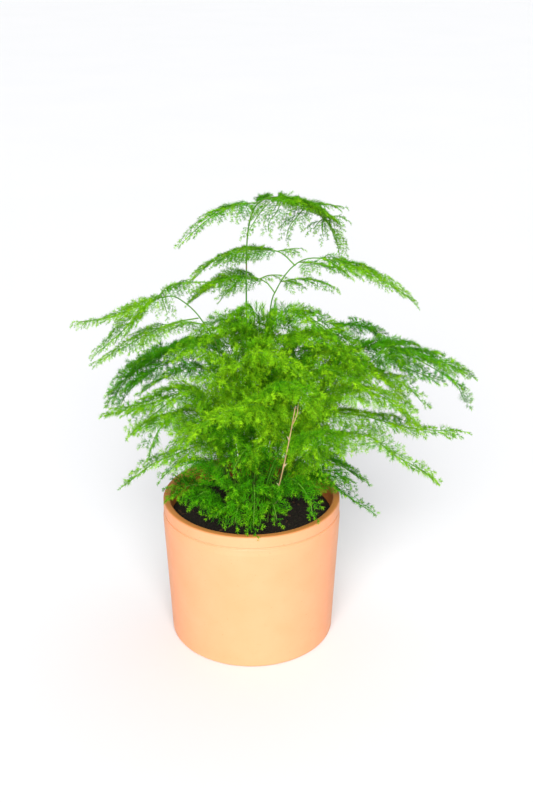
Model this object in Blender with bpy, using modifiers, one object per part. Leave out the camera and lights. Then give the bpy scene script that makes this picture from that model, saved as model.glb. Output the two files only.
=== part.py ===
# A potted lace fern: a round clay pot, the soil that fills it, and the leafy stems that rise from the soil.
# The origin is the middle of the pot's underside, +Z is up, and -Y is the plant's front.
import math
import random
from collections import namedtuple

import bmesh
import bpy
import numpy as np
from mathutils import Vector

MM = 0.001
CLEAR = 0.3 * MM

# The pot.
POT_RADIUS = 70 * MM
POT_FOOT_RADIUS = 65.8 * MM
POT_HEIGHT = 119 * MM
POT_WALL = 5.6 * MM
POT_FLOOR = 6 * MM
POT_STEPS = 36
FOOT_ROUND = 2.5 * MM
LIP_ROUND = 1.4 * MM
GROOVE_TOP = 109.8 * MM
GROOVE_DEPTH = 0.7 * MM
SHOULDER_TOP = 108.3 * MM
SHOULDER_FALL = 4.6 * MM
SHOULDER_OUT = 0.4 * MM
INSIDE_ROUND = 4 * MM

# The soil.
SOIL_LEVEL = 103 * MM
SOIL_RISE = 2.5 * MM
SOIL_RELIEF = 0.9 * MM
SOIL_STEPS = 18

# The stems.
STEM_FOOT = 86 * MM
STEM_UPRIGHT_TO = 110 * MM
STEM_RADIUS = 0.85 * MM
STEM_END_RADIUS = 0.6 * MM
ARM_RADIUS = 0.62 * MM
ARM_ROOT_RADIUS = 0.4 * MM
BARE_STEP = 36 * MM
LEAFY_STEP = 19 * MM

# The side branches, and the branchlets and needles on them.
RIB_ROOT_RADIUS = 0.26 * MM
RIB_RADIUS = 0.6 * MM
RIB_END_RADIUS = 0.4 * MM
RIB_GAP = 28 * MM
RIB_ANGLE = 52
RIB_ANGLE_LOSS = 14
RIB_CLOSING = 12
RIB_LEVELLING = 0.35
RIB_SAG = 0.19
HIGH_RIB_SAG = 0.31
RIB_SWELL_OVER = 0.25
RIB_NEAR_SHARE = 0.72
RIB_TAPER = 0.62
RIB_CORNERS = 4
WHORL_GAP = 15 * MM
FIRST_WHORL = 4.5 * MM
LAST_WHORL = 2.5 * MM
WHORL_LENGTH = 1.4 * MM
BRANCHLET = 12.5 * MM
BRANCHLET_AT_TIP = 0.35
BRANCHLET_FORWARD = 0.62
BRANCHLET_OUTWARD = 0.8
BRANCHLET_FLATNESS = 0.9
NEEDLE = 6 * MM
NEEDLE_RADIUS = 0.5 * MM
LEADER = 30 * MM
LEADER_SHARE = 0.4
LEADER_ROOT = 1.5 * MM

# How many places along a line are tried for the root of what branches off it.
ROOT_SAMPLES = 400

# A branch or branchlet that has no room as it is gets tilted, in degrees, or shortened until it has.
RIB_TILTS = [0, 7, -7, 14, -14, 21, -21]
RIB_SHORTENINGS = [1, 0.75]
BRANCHLET_SHORTENINGS = [1, 0.7, 0.45]
RIB_LENGTHS = (0.9, 1.08)
BRANCHLET_LENGTHS = (0.88, 1.08)

# The fronds that stand above the rest, whose side branches hang more.
HIGH_FRONDS = ["frond_tall", "frond_high_right", "frond_high_left"]

# One leafy axis: the points that it passes, in millimetres, how many of them come before its first side branch,
# and how far its side branches reach. Its last point is the tip. A stem's own axis starts in the soil, and an arm
# starts on its stem.
Axis = namedtuple("Axis", "points bare spread")

FRONDS = {
    "frond_tall": [
        Axis([(-3, 4), (-3, 5, 180), (-3, 5, 250), (-3, 5, 299), (-1, 6, 334), (8, 14, 351), (31, 37, 347),
              (55, 60, 328), (66, 68, 308), (70, 71, 294)], 5, 38),
        Axis([(6, 12, 350), (-10, -1, 351), (-29, -13, 344), (-48, -23, 329)], 0, 30),
        Axis([(36, 43, 344), (54, 52, 340), (71, 58, 336)], 0, 18),
        Axis([(14, 18, 349), (8, 6, 345), (2, -4, 338), (-4, -13, 330)], 0, 14),
        Axis([(23, 28, 348), (19, 18, 341), (14, 8, 337), (13, 0, 330)], 0, 16),
        Axis([(42, 47, 340), (35, 36, 334), (29, 29, 328), (26, 22, 319)], 0, 22),
        Axis([(56, 60, 327), (51, 54, 324), (47, 48, 320)], 0, 16),
        Axis([(57, 61, 327), (68, 62, 328), (74, 62, 324)], 0, 14),
        Axis([(56, 60, 327), (55, 57, 320), (56, 54, 312)], 0, 14),
    ],
    "frond_high_right": [
        Axis([(5, 3), (9, 8, 170), (14, 8, 263), (20, 8, 287), (33, 4, 306), (49, 0, 312), (75, -5, 307),
              (98, -9, 297), (120, -12, 282)], 5, 38),
        Axis([(33, 4, 305), (20, 11, 314), (-4, 17, 313), (-28, 19, 304), (-45, 18, 288)], 1, 36),
        Axis([(18, 8, 283), (10, 12, 291), (-8, 16, 294), (-28, 19, 286), (-45, 20, 272)], 1, 44),
        Axis([(-8, 16, 294), (-13, 14, 286), (-21, 12, 278)], 0, 16),
        Axis([(23, 7, 292), (36, -2, 297), (50, -9, 297), (63, -15, 293)], 0, 22),
        Axis([(36, 3, 308), (47, -6, 310), (58, -12, 309), (71, -18, 307)], 0, 22),
        Axis([(20, 11, 314), (28, 6, 317), (36, 2, 319)], 0, 14),
        Axis([(6, 13, 292), (14, 10, 296), (25, 7, 297)], 0, 12),
    ],
    "frond_high_left": [
        Axis([(-9, -2), (-13, -6, 170), (-23, -9, 240), (-36, -12, 269), (-49, -15, 284), (-60, -16, 288),
              (-81, -18, 281), (-100, -20, 274), (-115, -21, 271), (-127, -20, 270)], 5, 32),
        Axis([(-66, -17, 288), (-61, -16, 294), (-53, -14, 297), (-42, -11, 297), (-30, -7, 296)], 0, 26),
        Axis([(-74, -17, 284), (-86, -25, 271), (-100, -31, 259), (-113, -34, 249)], 0, 28),
        Axis([(-38, -12, 270), (-55, -19, 269), (-72, -26, 264), (-91, -33, 255), (-112, -37, 244)], 1, 32),
        Axis([(-34, -12, 265), (-44, -18, 269), (-54, -23, 270), (-63, -28, 267)], 0, 24),
        Axis([(-64, -16, 288), (-62, -20, 283), (-59, -23, 275)], 0, 16),
    ],
    "frond_back_left": [
        Axis([(-13, 12), (-18, 28, 160), (-25, 42, 210), (-41, 56, 224), (-61, 65, 217), (-83, 70, 206),
              (-99, 70, 193), (-111, 70, 179), (-117, 69, 166)], 2, 52),
        Axis([(-47, 58, 220), (-63, 57, 211), (-77, 57, 204), (-91, 57, 193), (-102, 57, 182),
              (-109, 57, 170)], 1, 40),
    ],
    "frond_left": [
        Axis([(-17, -3), (-24, -7, 165), (-35, -12, 209), (-50, -16, 213), (-70, -17, 206), (-91, -14, 198),
              (-110, -10, 192)], 1, 54),
        Axis([(-53, -16, 212), (-68, -24, 202), (-78, -28, 194), (-88, -30, 186)], 1, 30),
    ],
    "frond_left_hang": [
        Axis([(-18, -9), (-24, -15, 160), (-37, -26, 192), (-53, -35, 203), (-70, -43, 201),
              (-89, -48, 191)], 1, 40),
        Axis([(-60, -38, 202), (-65, -46, 198), (-70, -50, 190), (-73, -52, 180)], 0, 30),
    ],
    "frond_left_low": [
        Axis([(-13, -13), (-19, -26, 155), (-30, -38, 180), (-49, -45, 178), (-73, -50, 169),
              (-93, -52, 153)], 2, 32),
    ],
    "frond_right": [
        Axis([(15, 4), (27, 8, 160), (46, 12, 208), (70, 16, 231), (98, 19, 237), (128, 21, 231),
              (149, 20, 223), (170, 19, 213)], 2, 56),
        Axis([(96, 19, 237), (113, 12, 226), (130, 8, 218), (149, 6, 213)], 0, 36),
        Axis([(112, 19, 234), (135, 10, 225), (156, 5, 212), (166, 3, 195)], 1, 24),
    ],
    "frond_right_inner": [
        Axis([(19, 0), (33, 1, 165), (52, 4, 210), (72, 7, 225), (93, 9, 218), (109, 7, 206),
              (120, 2, 192)], 1, 54),
        Axis([(93, 9, 218), (108, 3, 217), (122, -2, 209), (133, -6, 197)], 0, 26),
    ],
    "frond_right_mid": [
        Axis([(15, -6), (27, -10, 155), (45, -13, 189), (64, -16, 196), (88, -19, 194), (112, -20, 187),
              (138, -17, 182), (163, -12, 179)], 1, 38),
    ],
    "frond_right_low": [
        Axis([(11, -14), (28, -19, 145), (47, -29, 174), (65, -37, 188), (87, -43, 189), (106, -48, 176),
              (121, -50, 168), (131, -52, 162), (138, -53, 153)], 1, 38),
    ],
    "frond_back_right_low": [
        Axis([(13, 13), (25, 21, 124), (39, 29, 135), (57, 37, 134), (75, 44, 121), (95, 50, 103)], 1, 38),
    ],
    "frond_back_right_rim": [
        Axis([(20, 7), (29, 5, 119), (41, 3, 131), (53, 0, 134), (65, -2, 128), (81, -3, 114),
              (98, -3, 103)], 1, 30),
    ],
    "frond_back": [
        Axis([(3, 15), (13, 24, 180), (26, 32, 224), (44, 45, 234), (60, 57, 233), (75, 66, 237),
              (89, 74, 234), (101, 81, 224), (111, 86, 209)], 1, 46),
    ],
    "frond_back_far_left": [
        Axis([(-6, 16), (-12, 36, 175), (-16, 54, 211), (-26, 74, 221), (-41, 90, 215),
              (-53, 98, 204)], 2, 44),
    ],
    "frond_back_mid": [
        Axis([(4, 21), (8, 36, 150), (14, 54, 188), (22, 74, 196), (30, 92, 184), (36, 106, 160)], 1, 44),
    ],
    "frond_back_left_low": [
        Axis([(-14, 17), (-25, 32, 140), (-42, 48, 166), (-60, 64, 162), (-74, 78, 140)], 1, 38),
    ],
    "frond_back_left_inner": [
        Axis([(-12, 4), (-16, 9, 160), (-23, 15, 198), (-30, 20, 213), (-43, 25, 217), (-59, 29, 211),
              (-75, 31, 202), (-89, 32, 191)], 1, 42),
    ],
    "frond_back_right_inner": [
        Axis([(9, 9), (13, 13, 160), (18, 17, 206), (28, 20, 227), (42, 24, 232), (58, 27, 230),
              (74, 29, 221), (87, 30, 209)], 2, 42),
    ],
    "frond_crown_back": [
        Axis([(-1, 11), (3, 14, 180), (8, 17, 228), (4, 16, 247), (-6, 14, 255), (-18, 13, 252),
              (-30, 12, 242)], 2, 48),
    ],
    "frond_crown_front": [
        Axis([(-5, -7), (-8, -8, 160), (-9, -10, 215), (-6, -13, 243), (3, -15, 255), (15, -14, 257),
              (28, -14, 251)], 2, 46),
    ],
    "frond_crown_left": [
        Axis([(-6, 1), (-7, 2, 180), (-6, 1, 236), (-6, -2, 260), (-12, -8, 269), (-24, -17, 265),
              (-41, -26, 255), (-56, -33, 245)], 1, 50),
    ],
    "frond_crown_right": [
        Axis([(9, -1), (10, -4, 180), (11, -4, 242), (14, -5, 264), (24, -11, 275), (41, -20, 274),
              (60, -31, 264), (78, -41, 246)], 1, 52),
    ],
    "frond_centre": [
        Axis([(-2, -4), (-4, -12, 170), (-6, -24, 226), (-1, -36, 249), (11, -48, 256), (26, -60, 253),
              (40, -70, 243)], 1, 46),
    ],
    "frond_crown_mid": [
        Axis([(6, -6), (8, -8, 170), (11, -13, 238), (21, -21, 258), (39, -29, 264), (57, -37, 258),
              (72, -44, 245)], 1, 50),
    ],
    "frond_right_front": [
        Axis([(17, -11), (26, -15, 150), (38, -20, 196), (54, -26, 217), (76, -31, 222), (97, -35, 217),
              (113, -38, 204), (121, -39, 194)], 1, 54),
    ],
    "frond_crown_top": [
        Axis([(1, 0), (2, -1, 170), (3, -3, 238), (3, -8, 267), (1, -16, 280), (-3, -27, 280),
              (-6, -38, 271)], 2, 48),
    ],
    "frond_mid_left": [
        Axis([(-12, -7), (-13, -11, 160), (-14, -19, 222), (-20, -29, 244), (-31, -40, 255),
              (-43, -49, 259)], 1, 48),
    ],
    "frond_inner_left": [
        Axis([(-8, -11), (-9, -15, 150), (-10, -24, 205), (-15, -33, 226), (-26, -44, 237),
              (-40, -54, 240)], 1, 44),
    ],
    "frond_inner_right": [
        Axis([(12, 3), (15, -1, 160), (23, -6, 216), (37, -12, 240), (54, -18, 248), (73, -25, 243),
              (89, -31, 230)], 1, 52),
    ],
    "frond_mid_right": [
        Axis([(12, -8), (20, -14, 160), (31, -22, 218), (50, -34, 238), (70, -44, 237),
              (89, -52, 223)], 1, 52),
    ],
    "frond_front": [
        Axis([(3, -9), (5, -20, 165), (9, -34, 213), (17, -51, 234), (29, -67, 241), (40, -82, 236),
              (47, -92, 224)], 1, 50),
    ],
    "frond_front_left": [
        Axis([(3, -15), (9, -25, 155), (16, -38, 196), (14, -50, 216), (-2, -62, 222), (-21, -71, 219),
              (-38, -78, 210), (-52, -80, 195)], 1, 42),
    ],
    "frond_front_far_left": [
        Axis([(-3, -14), (-6, -26, 155), (-14, -42, 192), (-28, -57, 204), (-43, -68, 201),
              (-55, -77, 190)], 1, 44),
    ],
    "frond_front_right": [
        Axis([(8, -16), (17, -30, 154), (32, -44, 187), (46, -56, 199), (58, -65, 198),
              (66, -72, 189)], 2, 46),
    ],
    "frond_front_hang": [
        Axis([(7, -21), (13, -32, 148), (24, -43, 182), (36, -53, 195), (45, -62, 195), (50, -70, 185),
              (52, -76, 171)], 2, 32),
    ],
    "frond_low_left": [
        Axis([(-9, -19), (-14, -28, 133), (-23, -38, 159), (-38, -46, 173), (-53, -52, 171),
              (-65, -56, 161)], 1, 42),
    ],
    "frond_inner_low": [
        Axis([(-1, -17), (2, -25, 140), (5, -35, 170), (2, -46, 183), (-6, -56, 181),
              (-14, -64, 168)], 1, 36),
    ],
    "frond_low_front": [
        Axis([(0, -21), (1, -32, 133), (2, -44, 150), (3, -56, 147), (2, -65, 122)], 1, 38),
    ],
    "frond_low_right": [
        Axis([(13, -22), (18, -32, 136), (28, -43, 154), (37, -52, 153), (44, -58, 143),
              (46, -62, 131)], 1, 34),
    ],
    "frond_rim_left": [
        Axis([(-19, -14), (-26, -17, 121), (-38, -20, 136), (-51, -22, 136), (-61, -23, 125)], 1, 42),
    ],
    "frond_rim_front": [
        Axis([(7, -27), (9, -33, 122), (13, -41, 132), (17, -50, 136), (20, -61, 126)], 1, 28),
    ],
    "frond_rim_right": [
        Axis([(20, -7), (31, -8, 128), (46, -9, 143), (64, -9, 142), (79, -6, 128)], 1, 38),
    ],
    "frond_rim_back": [
        Axis([(-3, 24), (-7, 35, 124), (-14, 50, 146), (-25, 66, 148), (-36, 80, 130)], 1, 32),
    ],
    "frond_rim_back_left": [
        Axis([(-9, 22), (-18, 28, 118), (-28, 33, 127), (-39, 37, 129), (-51, 40, 123)], 1, 26),
    ],
    "frond_pot_left": [
        Axis([(-14, -21), (-22, -27, 122), (-30, -33, 137), (-38, -38, 139), (-45, -42, 131)], 1, 36),
        Axis([(-30, -33, 137), (-33, -41, 135), (-34, -47, 129)], 0, 24),
    ],
    "frond_pot_front": [
        Axis([(-4, -27), (-6, -35, 118), (-8, -44, 132), (-10, -53, 133), (-12, -61, 123)], 1, 34),
        Axis([(-8, -44, 132), (-16, -48, 134), (-23, -51, 131), (-27, -53, 124)], 0, 26),
    ],
}

# The points of the dry old stem and of its twig, in millimetres, and where the stem's bracts sit along it, as
# shares of its length.
DRY_STEM = [(18, -24), (18, -32, 123), (20, -45, 143), (24, -58, 170), (28, -69, 198), (32, -77, 228)]
DRY_TWIG = [(30, -74, 212), (33, -75, 220), (34, -75, 229)]
DRY_BRACTS = [0.32, 0.47, 0.62, 0.8]
DRY_CORNERS = 10
TWIG_RADIUS = 0.45 * MM
BRACT = 3.2 * MM
BRACT_ROOT_RADIUS = 0.36 * MM
BRACT_RADIUS = 0.75 * MM
BRACT_TIP_RADIUS = 0.3 * MM


def unit(vector):
    return vector / np.linalg.norm(vector)


def clear_scene():
    for thing in list(bpy.data.objects):
        bpy.data.objects.remove(thing, do_unlink=True)


def new_collection(name):
    collection = bpy.data.collections.new(name)
    bpy.context.scene.collection.children.link(collection)
    return collection


def new_material(name, colour, roughness):
    material = bpy.data.materials.new(name)
    material.use_nodes = True
    shader = material.node_tree.nodes["Principled BSDF"]
    shader.inputs["Base Color"].default_value = (*colour, 1)
    shader.inputs["Roughness"].default_value = roughness
    shader.inputs["Metallic"].default_value = 0
    return material


def new_object(name, data, collection, material=None):
    thing = bpy.data.objects.new(name, data)
    collection.objects.link(thing)
    if material:
        data.materials.append(material)
    return thing


def arc(centre_x, centre_z, radius, start, end, steps):
    """Points on an arc in the profile's plane, with its angles in degrees from +X."""
    turns = [math.radians(start + (end - start) * k / steps) for k in range(steps + 1)]
    return [(centre_x + radius * math.cos(a), centre_z + radius * math.sin(a)) for a in turns]


def turned(name, profile, steps, collection, material):
    """A solid turned round Z. Its profile runs from the axis, down its outer side, and back to the axis."""
    mesh = bpy.data.meshes.new(name)
    points = [(x, 0, z) for x, z in profile]
    mesh.from_pydata(points, [(k, k + 1) for k in range(len(points) - 1)], [])
    thing = new_object(name, mesh, collection, material)
    screw = thing.modifiers.new("Turn", "SCREW")
    screw.steps = steps
    screw.render_steps = steps
    screw.use_merge_vertices = True
    screw.merge_threshold = 0.00005
    return thing


def as_mesh(thing, collection):
    """The object's evaluated shape as a plain mesh object that takes its place."""
    bpy.context.view_layer.update()
    graph = bpy.context.evaluated_depsgraph_get()
    mesh = bpy.data.meshes.new_from_object(thing.evaluated_get(graph), depsgraph=graph)
    shape = bmesh.new()
    shape.from_mesh(mesh)
    bmesh.ops.remove_doubles(shape, verts=shape.verts[:], dist=0.00002)
    shape.to_mesh(mesh)
    shape.free()
    name = thing.name
    place = thing.matrix_world.copy()
    bpy.data.objects.remove(thing, do_unlink=True)
    solid = bpy.data.objects.new(name, mesh)
    collection.objects.link(solid)
    solid.matrix_world = place
    return solid


def pot_inner_radius(height):
    """The radius of the pot's inside at a height above its underside."""
    foot = POT_FOOT_RADIUS - POT_WALL
    rim = POT_RADIUS - POT_WALL
    return foot + (rim - foot) * (height - POT_FLOOR) / (POT_HEIGHT - POT_FLOOR)


def make_pot(collection, material):
    inside_foot = pot_inner_radius(POT_FLOOR)
    profile = [(0, POT_FLOOR), (inside_foot - INSIDE_ROUND, POT_FLOOR)]
    profile += [(inside_foot, POT_FLOOR + INSIDE_ROUND)]
    profile += [(POT_RADIUS - POT_WALL, POT_HEIGHT - LIP_ROUND)]
    profile += arc(POT_RADIUS - POT_WALL + LIP_ROUND, POT_HEIGHT - LIP_ROUND, LIP_ROUND, 135, 90, 1)
    profile += arc(POT_RADIUS - LIP_ROUND, POT_HEIGHT - LIP_ROUND, LIP_ROUND, 90, 0, 2)
    profile += [(POT_RADIUS, GROOVE_TOP)]
    profile += [(POT_RADIUS - GROOVE_DEPTH, (GROOVE_TOP + SHOULDER_TOP) / 2)]
    profile += [(POT_RADIUS, SHOULDER_TOP), (POT_RADIUS + SHOULDER_OUT, SHOULDER_TOP - SHOULDER_FALL)]
    profile += arc(POT_FOOT_RADIUS - FOOT_ROUND, FOOT_ROUND, FOOT_ROUND, 0, -90, 3)
    profile += [(0, 0)]
    pot = turned("pot", profile, POT_STEPS, collection, material)
    pot.data.shade_smooth()
    return pot


def soil_height(x, y):
    """The soil's surface: a low mound that falls to the wall, with gentle lumps."""
    share = min(1.0, math.hypot(x, y) / pot_inner_radius(SOIL_LEVEL))
    lumps = math.sin(x / MM * 0.21 + 1.3) * math.cos(y / MM * 0.17 - 0.6)
    lumps += 0.5 * math.sin((x + y) / MM * 0.11)
    return SOIL_LEVEL + SOIL_RISE * (1 - share**2) + SOIL_RELIEF * lumps * (1 - share**4)


def make_soil(collection, cutters, material, stem_feet):
    """The soil, turned to fit the pot, with its surface raised in lumps and a plain hole for each stem."""
    bottom = POT_FLOOR + CLEAR
    corner = 5 * MM
    edge = pot_inner_radius(SOIL_LEVEL) - CLEAR
    rings = [0, 0.25, 0.5, 0.75, 1]
    profile = [(edge * share, SOIL_LEVEL) for share in rings]
    profile += [(pot_inner_radius(bottom + corner) - CLEAR, bottom + corner)]
    profile += [(pot_inner_radius(bottom) - corner, bottom), (0, bottom)]
    soil = as_mesh(turned("soil", profile, SOIL_STEPS, collection, None), collection)
    soil.data.materials.append(material)
    for corner_point in soil.data.vertices:
        if corner_point.co.z > SOIL_LEVEL - MM:
            corner_point.co.z = soil_height(corner_point.co.x, corner_point.co.y)
    for number, (x, y, radius) in enumerate(stem_feet):
        shape = bmesh.new()
        hole = (radius + CLEAR) / math.cos(math.pi / 6)
        depth = 30 * MM
        bmesh.ops.create_cone(shape, cap_ends=True, segments=6, radius1=hole, radius2=hole, depth=depth)
        mesh = bpy.data.meshes.new(f"stem_hole_{number:02d}")
        shape.to_mesh(mesh)
        shape.free()
        cutter = new_object(mesh.name, mesh, cutters)
        cutter.location = (x, y, STEM_FOOT - CLEAR + depth / 2)
        cutter.display_type = "WIRE"
        cutter.hide_render = True
    holes = soil.modifiers.new("Stem holes", "BOOLEAN")
    holes.operation = "DIFFERENCE"
    holes.operand_type = "COLLECTION"
    holes.collection = cutters
    holes.solver = "EXACT"
    return soil


def smooth_line(points):
    """Close points on a smooth (Catmull-Rom) curve through the points given, and how far along each is."""
    fine_steps = 16
    spread = np.vstack([2 * points[0] - points[1], points, 2 * points[-1] - points[-2]])
    fine = []
    for a, b, c, d in zip(spread, spread[1:], spread[2:], spread[3:]):
        for u in np.arange(fine_steps) / fine_steps:
            linear = (c - a) * u
            square = (2 * a - 5 * b + 4 * c - d) * u**2
            cube = (3 * b - a - 3 * c + d) * u**3
            fine.append(0.5 * (2 * b + linear + square + cube))
    fine.append(points[-1])
    fine = np.array(fine)
    along = np.concatenate([[0], np.cumsum(np.linalg.norm(np.diff(fine, axis=0), axis=1))])
    return fine, along


def read_line(line, along, places):
    """The points of a line at the given distances along it."""
    return np.stack([np.interp(places, along, line[:, k]) for k in range(3)], axis=1)


def axis_points(axis):
    """An axis's own points in metres. A stem's axis starts upright in its hole in the soil."""
    points = list(axis.points)
    if len(points[0]) == 2:
        x, y = points[0]
        points[0] = (x, y, STEM_UPRIGHT_TO / MM)
        return np.array([(x, y, STEM_FOOT / MM)] + points) * MM
    return np.array(points) * MM


def lay_axis(axis):
    """An axis's stem as corner points, how far along it each is, and how far along its leaves start."""
    points = axis_points(axis)
    line, along = smooth_line(points)
    starts_in_soil = len(axis.points[0]) == 2
    first_leaf = axis.bare + (1 if starts_in_soil else 0)
    leafy_from = along[np.argmin(np.linalg.norm(line - points[first_leaf], axis=1))]
    bare_count = max(1, round(leafy_from / BARE_STEP))
    leafy_count = max(2, round((along[-1] - leafy_from) / LEAFY_STEP))
    places = [np.linspace(0, leafy_from, bare_count, endpoint=False)] if leafy_from > 0 else []
    places.append(np.linspace(leafy_from, along[-1], leafy_count + 1))
    places = np.concatenate(places)
    if starts_in_soil:
        upright = STEM_UPRIGHT_TO - STEM_FOOT
        places = np.concatenate([[0, upright], places[places > upright + 4 * MM]])
    corners = read_line(line, along, places)
    lengths = np.linalg.norm(np.diff(corners, axis=0), axis=1)
    return corners, np.concatenate([[0], np.cumsum(lengths)]), leafy_from


def spot(corners, along, place):
    """The point at a distance along a line of corners, and the direction there."""
    k = min(np.searchsorted(along, place, side="right") - 1, len(corners) - 2)
    heading = unit(corners[k + 1] - corners[k])
    return corners[k] + (place - along[k]) * heading, heading


def stretch_gaps(start, end, starts, ends):
    """The least distance between one straight stretch and each of many others."""
    first = end - start
    others = ends - starts
    between = start - starts
    first_sq = first @ first
    others_sq = np.sum(others * others, axis=1)
    across = others @ first
    on_first = between @ first
    on_others = np.sum(others * between, axis=1)
    spread = first_sq * others_sq - across**2
    parallel = spread < 1e-18
    share = np.where(parallel, 0, (across * on_others - on_first * others_sq) / np.where(parallel, 1, spread))
    share = np.clip(share, 0, 1)
    other_share = np.clip((across * share + on_others) / others_sq, 0, 1)
    share = np.clip((across * other_share - on_first) / first_sq, 0, 1)
    apart = between + share[:, None] * first - other_share[:, None] * others
    return np.linalg.norm(apart, axis=1)


class Space:
    """The straight stretches of stem, branch and needle that stand so far. New ones stay clear of them."""

    def __init__(self):
        self.starts = np.zeros((0, 3))
        self.ends = np.zeros((0, 3))
        self.radii = np.zeros(0)
        self.owners = []

    def add(self, line, radius, owner):
        self.starts = np.vstack([self.starts, line[:-1]])
        self.ends = np.vstack([self.ends, line[1:]])
        self.radii = np.concatenate([self.radii, np.full(len(line) - 1, radius)])
        self.owners += [owner] * (len(line) - 1)

    def is_clear(self, line, radius, skip):
        """Whether a line of this radius is clear of the pot, the soil and every stretch of other owners."""
        if meets_pot(line, radius):
            return False
        kept = np.array([not any(owner.startswith(name) for name in skip) for owner in self.owners])
        if not kept.any():
            return True
        starts = self.starts[kept]
        ends = self.ends[kept]
        room = self.radii[kept] + radius + CLEAR
        for start, end in zip(line, line[1:]):
            if np.any(stretch_gaps(start, end, starts, ends) < room):
                return False
        return True


def meets_pot(line, radius):
    """Whether a line of this radius comes within a millimetre of the pot's wall or of the soil."""
    room = radius + 1 * MM
    for start, end in zip(line, line[1:]):
        for share in (0, 0.25, 0.5, 0.75, 1):
            x, y, z = start + share * (end - start)
            out = math.hypot(x, y)
            over_wall = pot_inner_radius(POT_FLOOR) - room < out < POT_RADIUS + room
            if over_wall and out > pot_inner_radius(z) - room and z < POT_HEIGHT + room:
                return True
            if out <= POT_RADIUS and z < SOIL_LEVEL + SOIL_RISE + SOIL_RELIEF + room:
                return True
    return False


def tube(name, corners, radii, collection):
    """A thin three-sided stem along a line of corners, with its radius at each of them."""
    headings = np.gradient(corners, axis=0)
    reach = corners[-1] - corners[0]
    side = unit(np.array([reach[1], -reach[0], 0]))
    shape = bmesh.new()
    rings = []
    for corner, heading, radius in zip(corners, headings, radii):
        heading = unit(heading)
        across = unit(side - (side @ heading) * heading)
        over = np.cross(heading, across)
        turns = [math.radians(90 + 120 * k) for k in range(3)]
        ring = [corner + radius * (math.cos(a) * across + math.sin(a) * over) for a in turns]
        rings.append([shape.verts.new(place) for place in ring])
    for low, high in zip(rings, rings[1:]):
        for k in range(3):
            shape.faces.new((low[k], high[k], high[(k + 1) % 3], low[(k + 1) % 3]))
    shape.faces.new(rings[0])
    shape.faces.new(rings[-1][::-1])
    bmesh.ops.recalc_face_normals(shape, faces=shape.faces[:])
    mesh = bpy.data.meshes.new(name)
    shape.to_mesh(mesh)
    shape.free()
    return new_object(name, mesh, collection)


def rib_frame(heading):
    """The level direction across a heading, and the one that stands square on both."""
    across = unit(np.cross(heading, (0, 0, 1)))
    return across, np.cross(across, heading)


def branch_line(root, heading, side, angle, length, sag, tilt):
    """Points along a side branch: it leaves its axis at an angle, bends forward a little and droops."""
    across, _ = rib_frame(heading)
    level = unit(heading * (1, 1, RIB_LEVELLING))
    points = []
    for u in np.linspace(0, 1, RIB_CORNERS):
        turn = math.radians(angle - RIB_CLOSING * u)
        away = math.cos(turn) * level + math.sin(turn) * side * across
        fall = sag * u * u - math.tan(math.radians(tilt)) * u
        points.append(root + length * u * away - np.array([0, 0, length * fall]))
    return np.array(points)


def make_rib(name, line, along, places, needles, roll, collection):
    """A three-sided branch along a line, its short sections' sides drawn out into needles."""
    length = along[-1]
    rings = [0]
    for place in places:
        rings += [place - WHORL_LENGTH / 2, place + WHORL_LENGTH / 2]
    shape = bmesh.new()
    corners = []
    for place in rings:
        point, heading = spot(line, along, place)
        across, over = rib_frame(heading)
        radius = RIB_RADIUS + (RIB_END_RADIUS - RIB_RADIUS) * place / length if place else RIB_ROOT_RADIUS
        turns = [math.radians(roll + 90 + 120 * k) for k in range(3)]
        corners.append([shape.verts.new(point + radius * (math.cos(a) * across + math.sin(a) * over))
                        for a in turns])
    shape.faces.new(corners[0])
    for number, (low, high) in enumerate(zip(corners, corners[1:])):
        for k in range(3):
            side = shape.faces.new((low[k], high[k], high[(k + 1) % 3], low[(k + 1) % 3]))
            if (number, k) in needles:
                middle = bmesh.ops.poke(shape, faces=[side])["verts"][0]
                middle.co = Vector(needles[number, k])
    cap = shape.faces.new(corners[-1][::-1])
    tip = bmesh.ops.poke(shape, faces=[cap])["verts"][0]
    tip.co = Vector(line[-1])
    bmesh.ops.recalc_face_normals(shape, faces=shape.faces[:])
    mesh = bpy.data.meshes.new(name)
    shape.to_mesh(mesh)
    shape.free()
    new_object(name, mesh, collection)


def grow_rib(name, line, roll, draw, space, collection):
    """One side branch with the needles that find room on it."""
    along = np.concatenate([[0], np.cumsum(np.linalg.norm(np.diff(line, axis=0), axis=1))])
    length = along[-1]
    leafy = length - FIRST_WHORL - LAST_WHORL
    places = np.linspace(FIRST_WHORL, length - LAST_WHORL, max(1, round(leafy / WHORL_GAP) + 1))
    own = [name, name.replace("leader", "stem")]
    needles = {}
    lines = []
    for number, place in enumerate(places):
        point, heading = spot(line, along, place)
        across, over = rib_frame(heading)
        taper = min(1, (length - place) / (2 * BRANCHLET) + BRANCHLET_AT_TIP)
        for k in range(3):
            turn = math.radians(roll + 150 + 120 * k)
            outward = math.cos(turn) * across + math.sin(turn) * over
            is_side = abs(math.cos(turn)) > 0.5
            if is_side:
                outward = unit(outward + BRANCHLET_FLATNESS * math.copysign(1, math.cos(turn)) * across)
            reach = BRANCHLET * taper if is_side else NEEDLE
            reach *= draw.uniform(*BRANCHLET_LENGTHS)
            for share in BRANCHLET_SHORTENINGS:
                tip = point + share * reach * unit(BRANCHLET_FORWARD * heading + BRANCHLET_OUTWARD * outward)
                needle = np.array([point, tip])
                if space.is_clear(needle, NEEDLE_RADIUS, own):
                    needles[2 * number + 1, k] = tip
                    lines.append(needle)
                    break
    make_rib(name, line, along, places, needles, roll, collection)
    for needle in lines:
        space.add(needle, NEEDLE_RADIUS, name)


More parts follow.
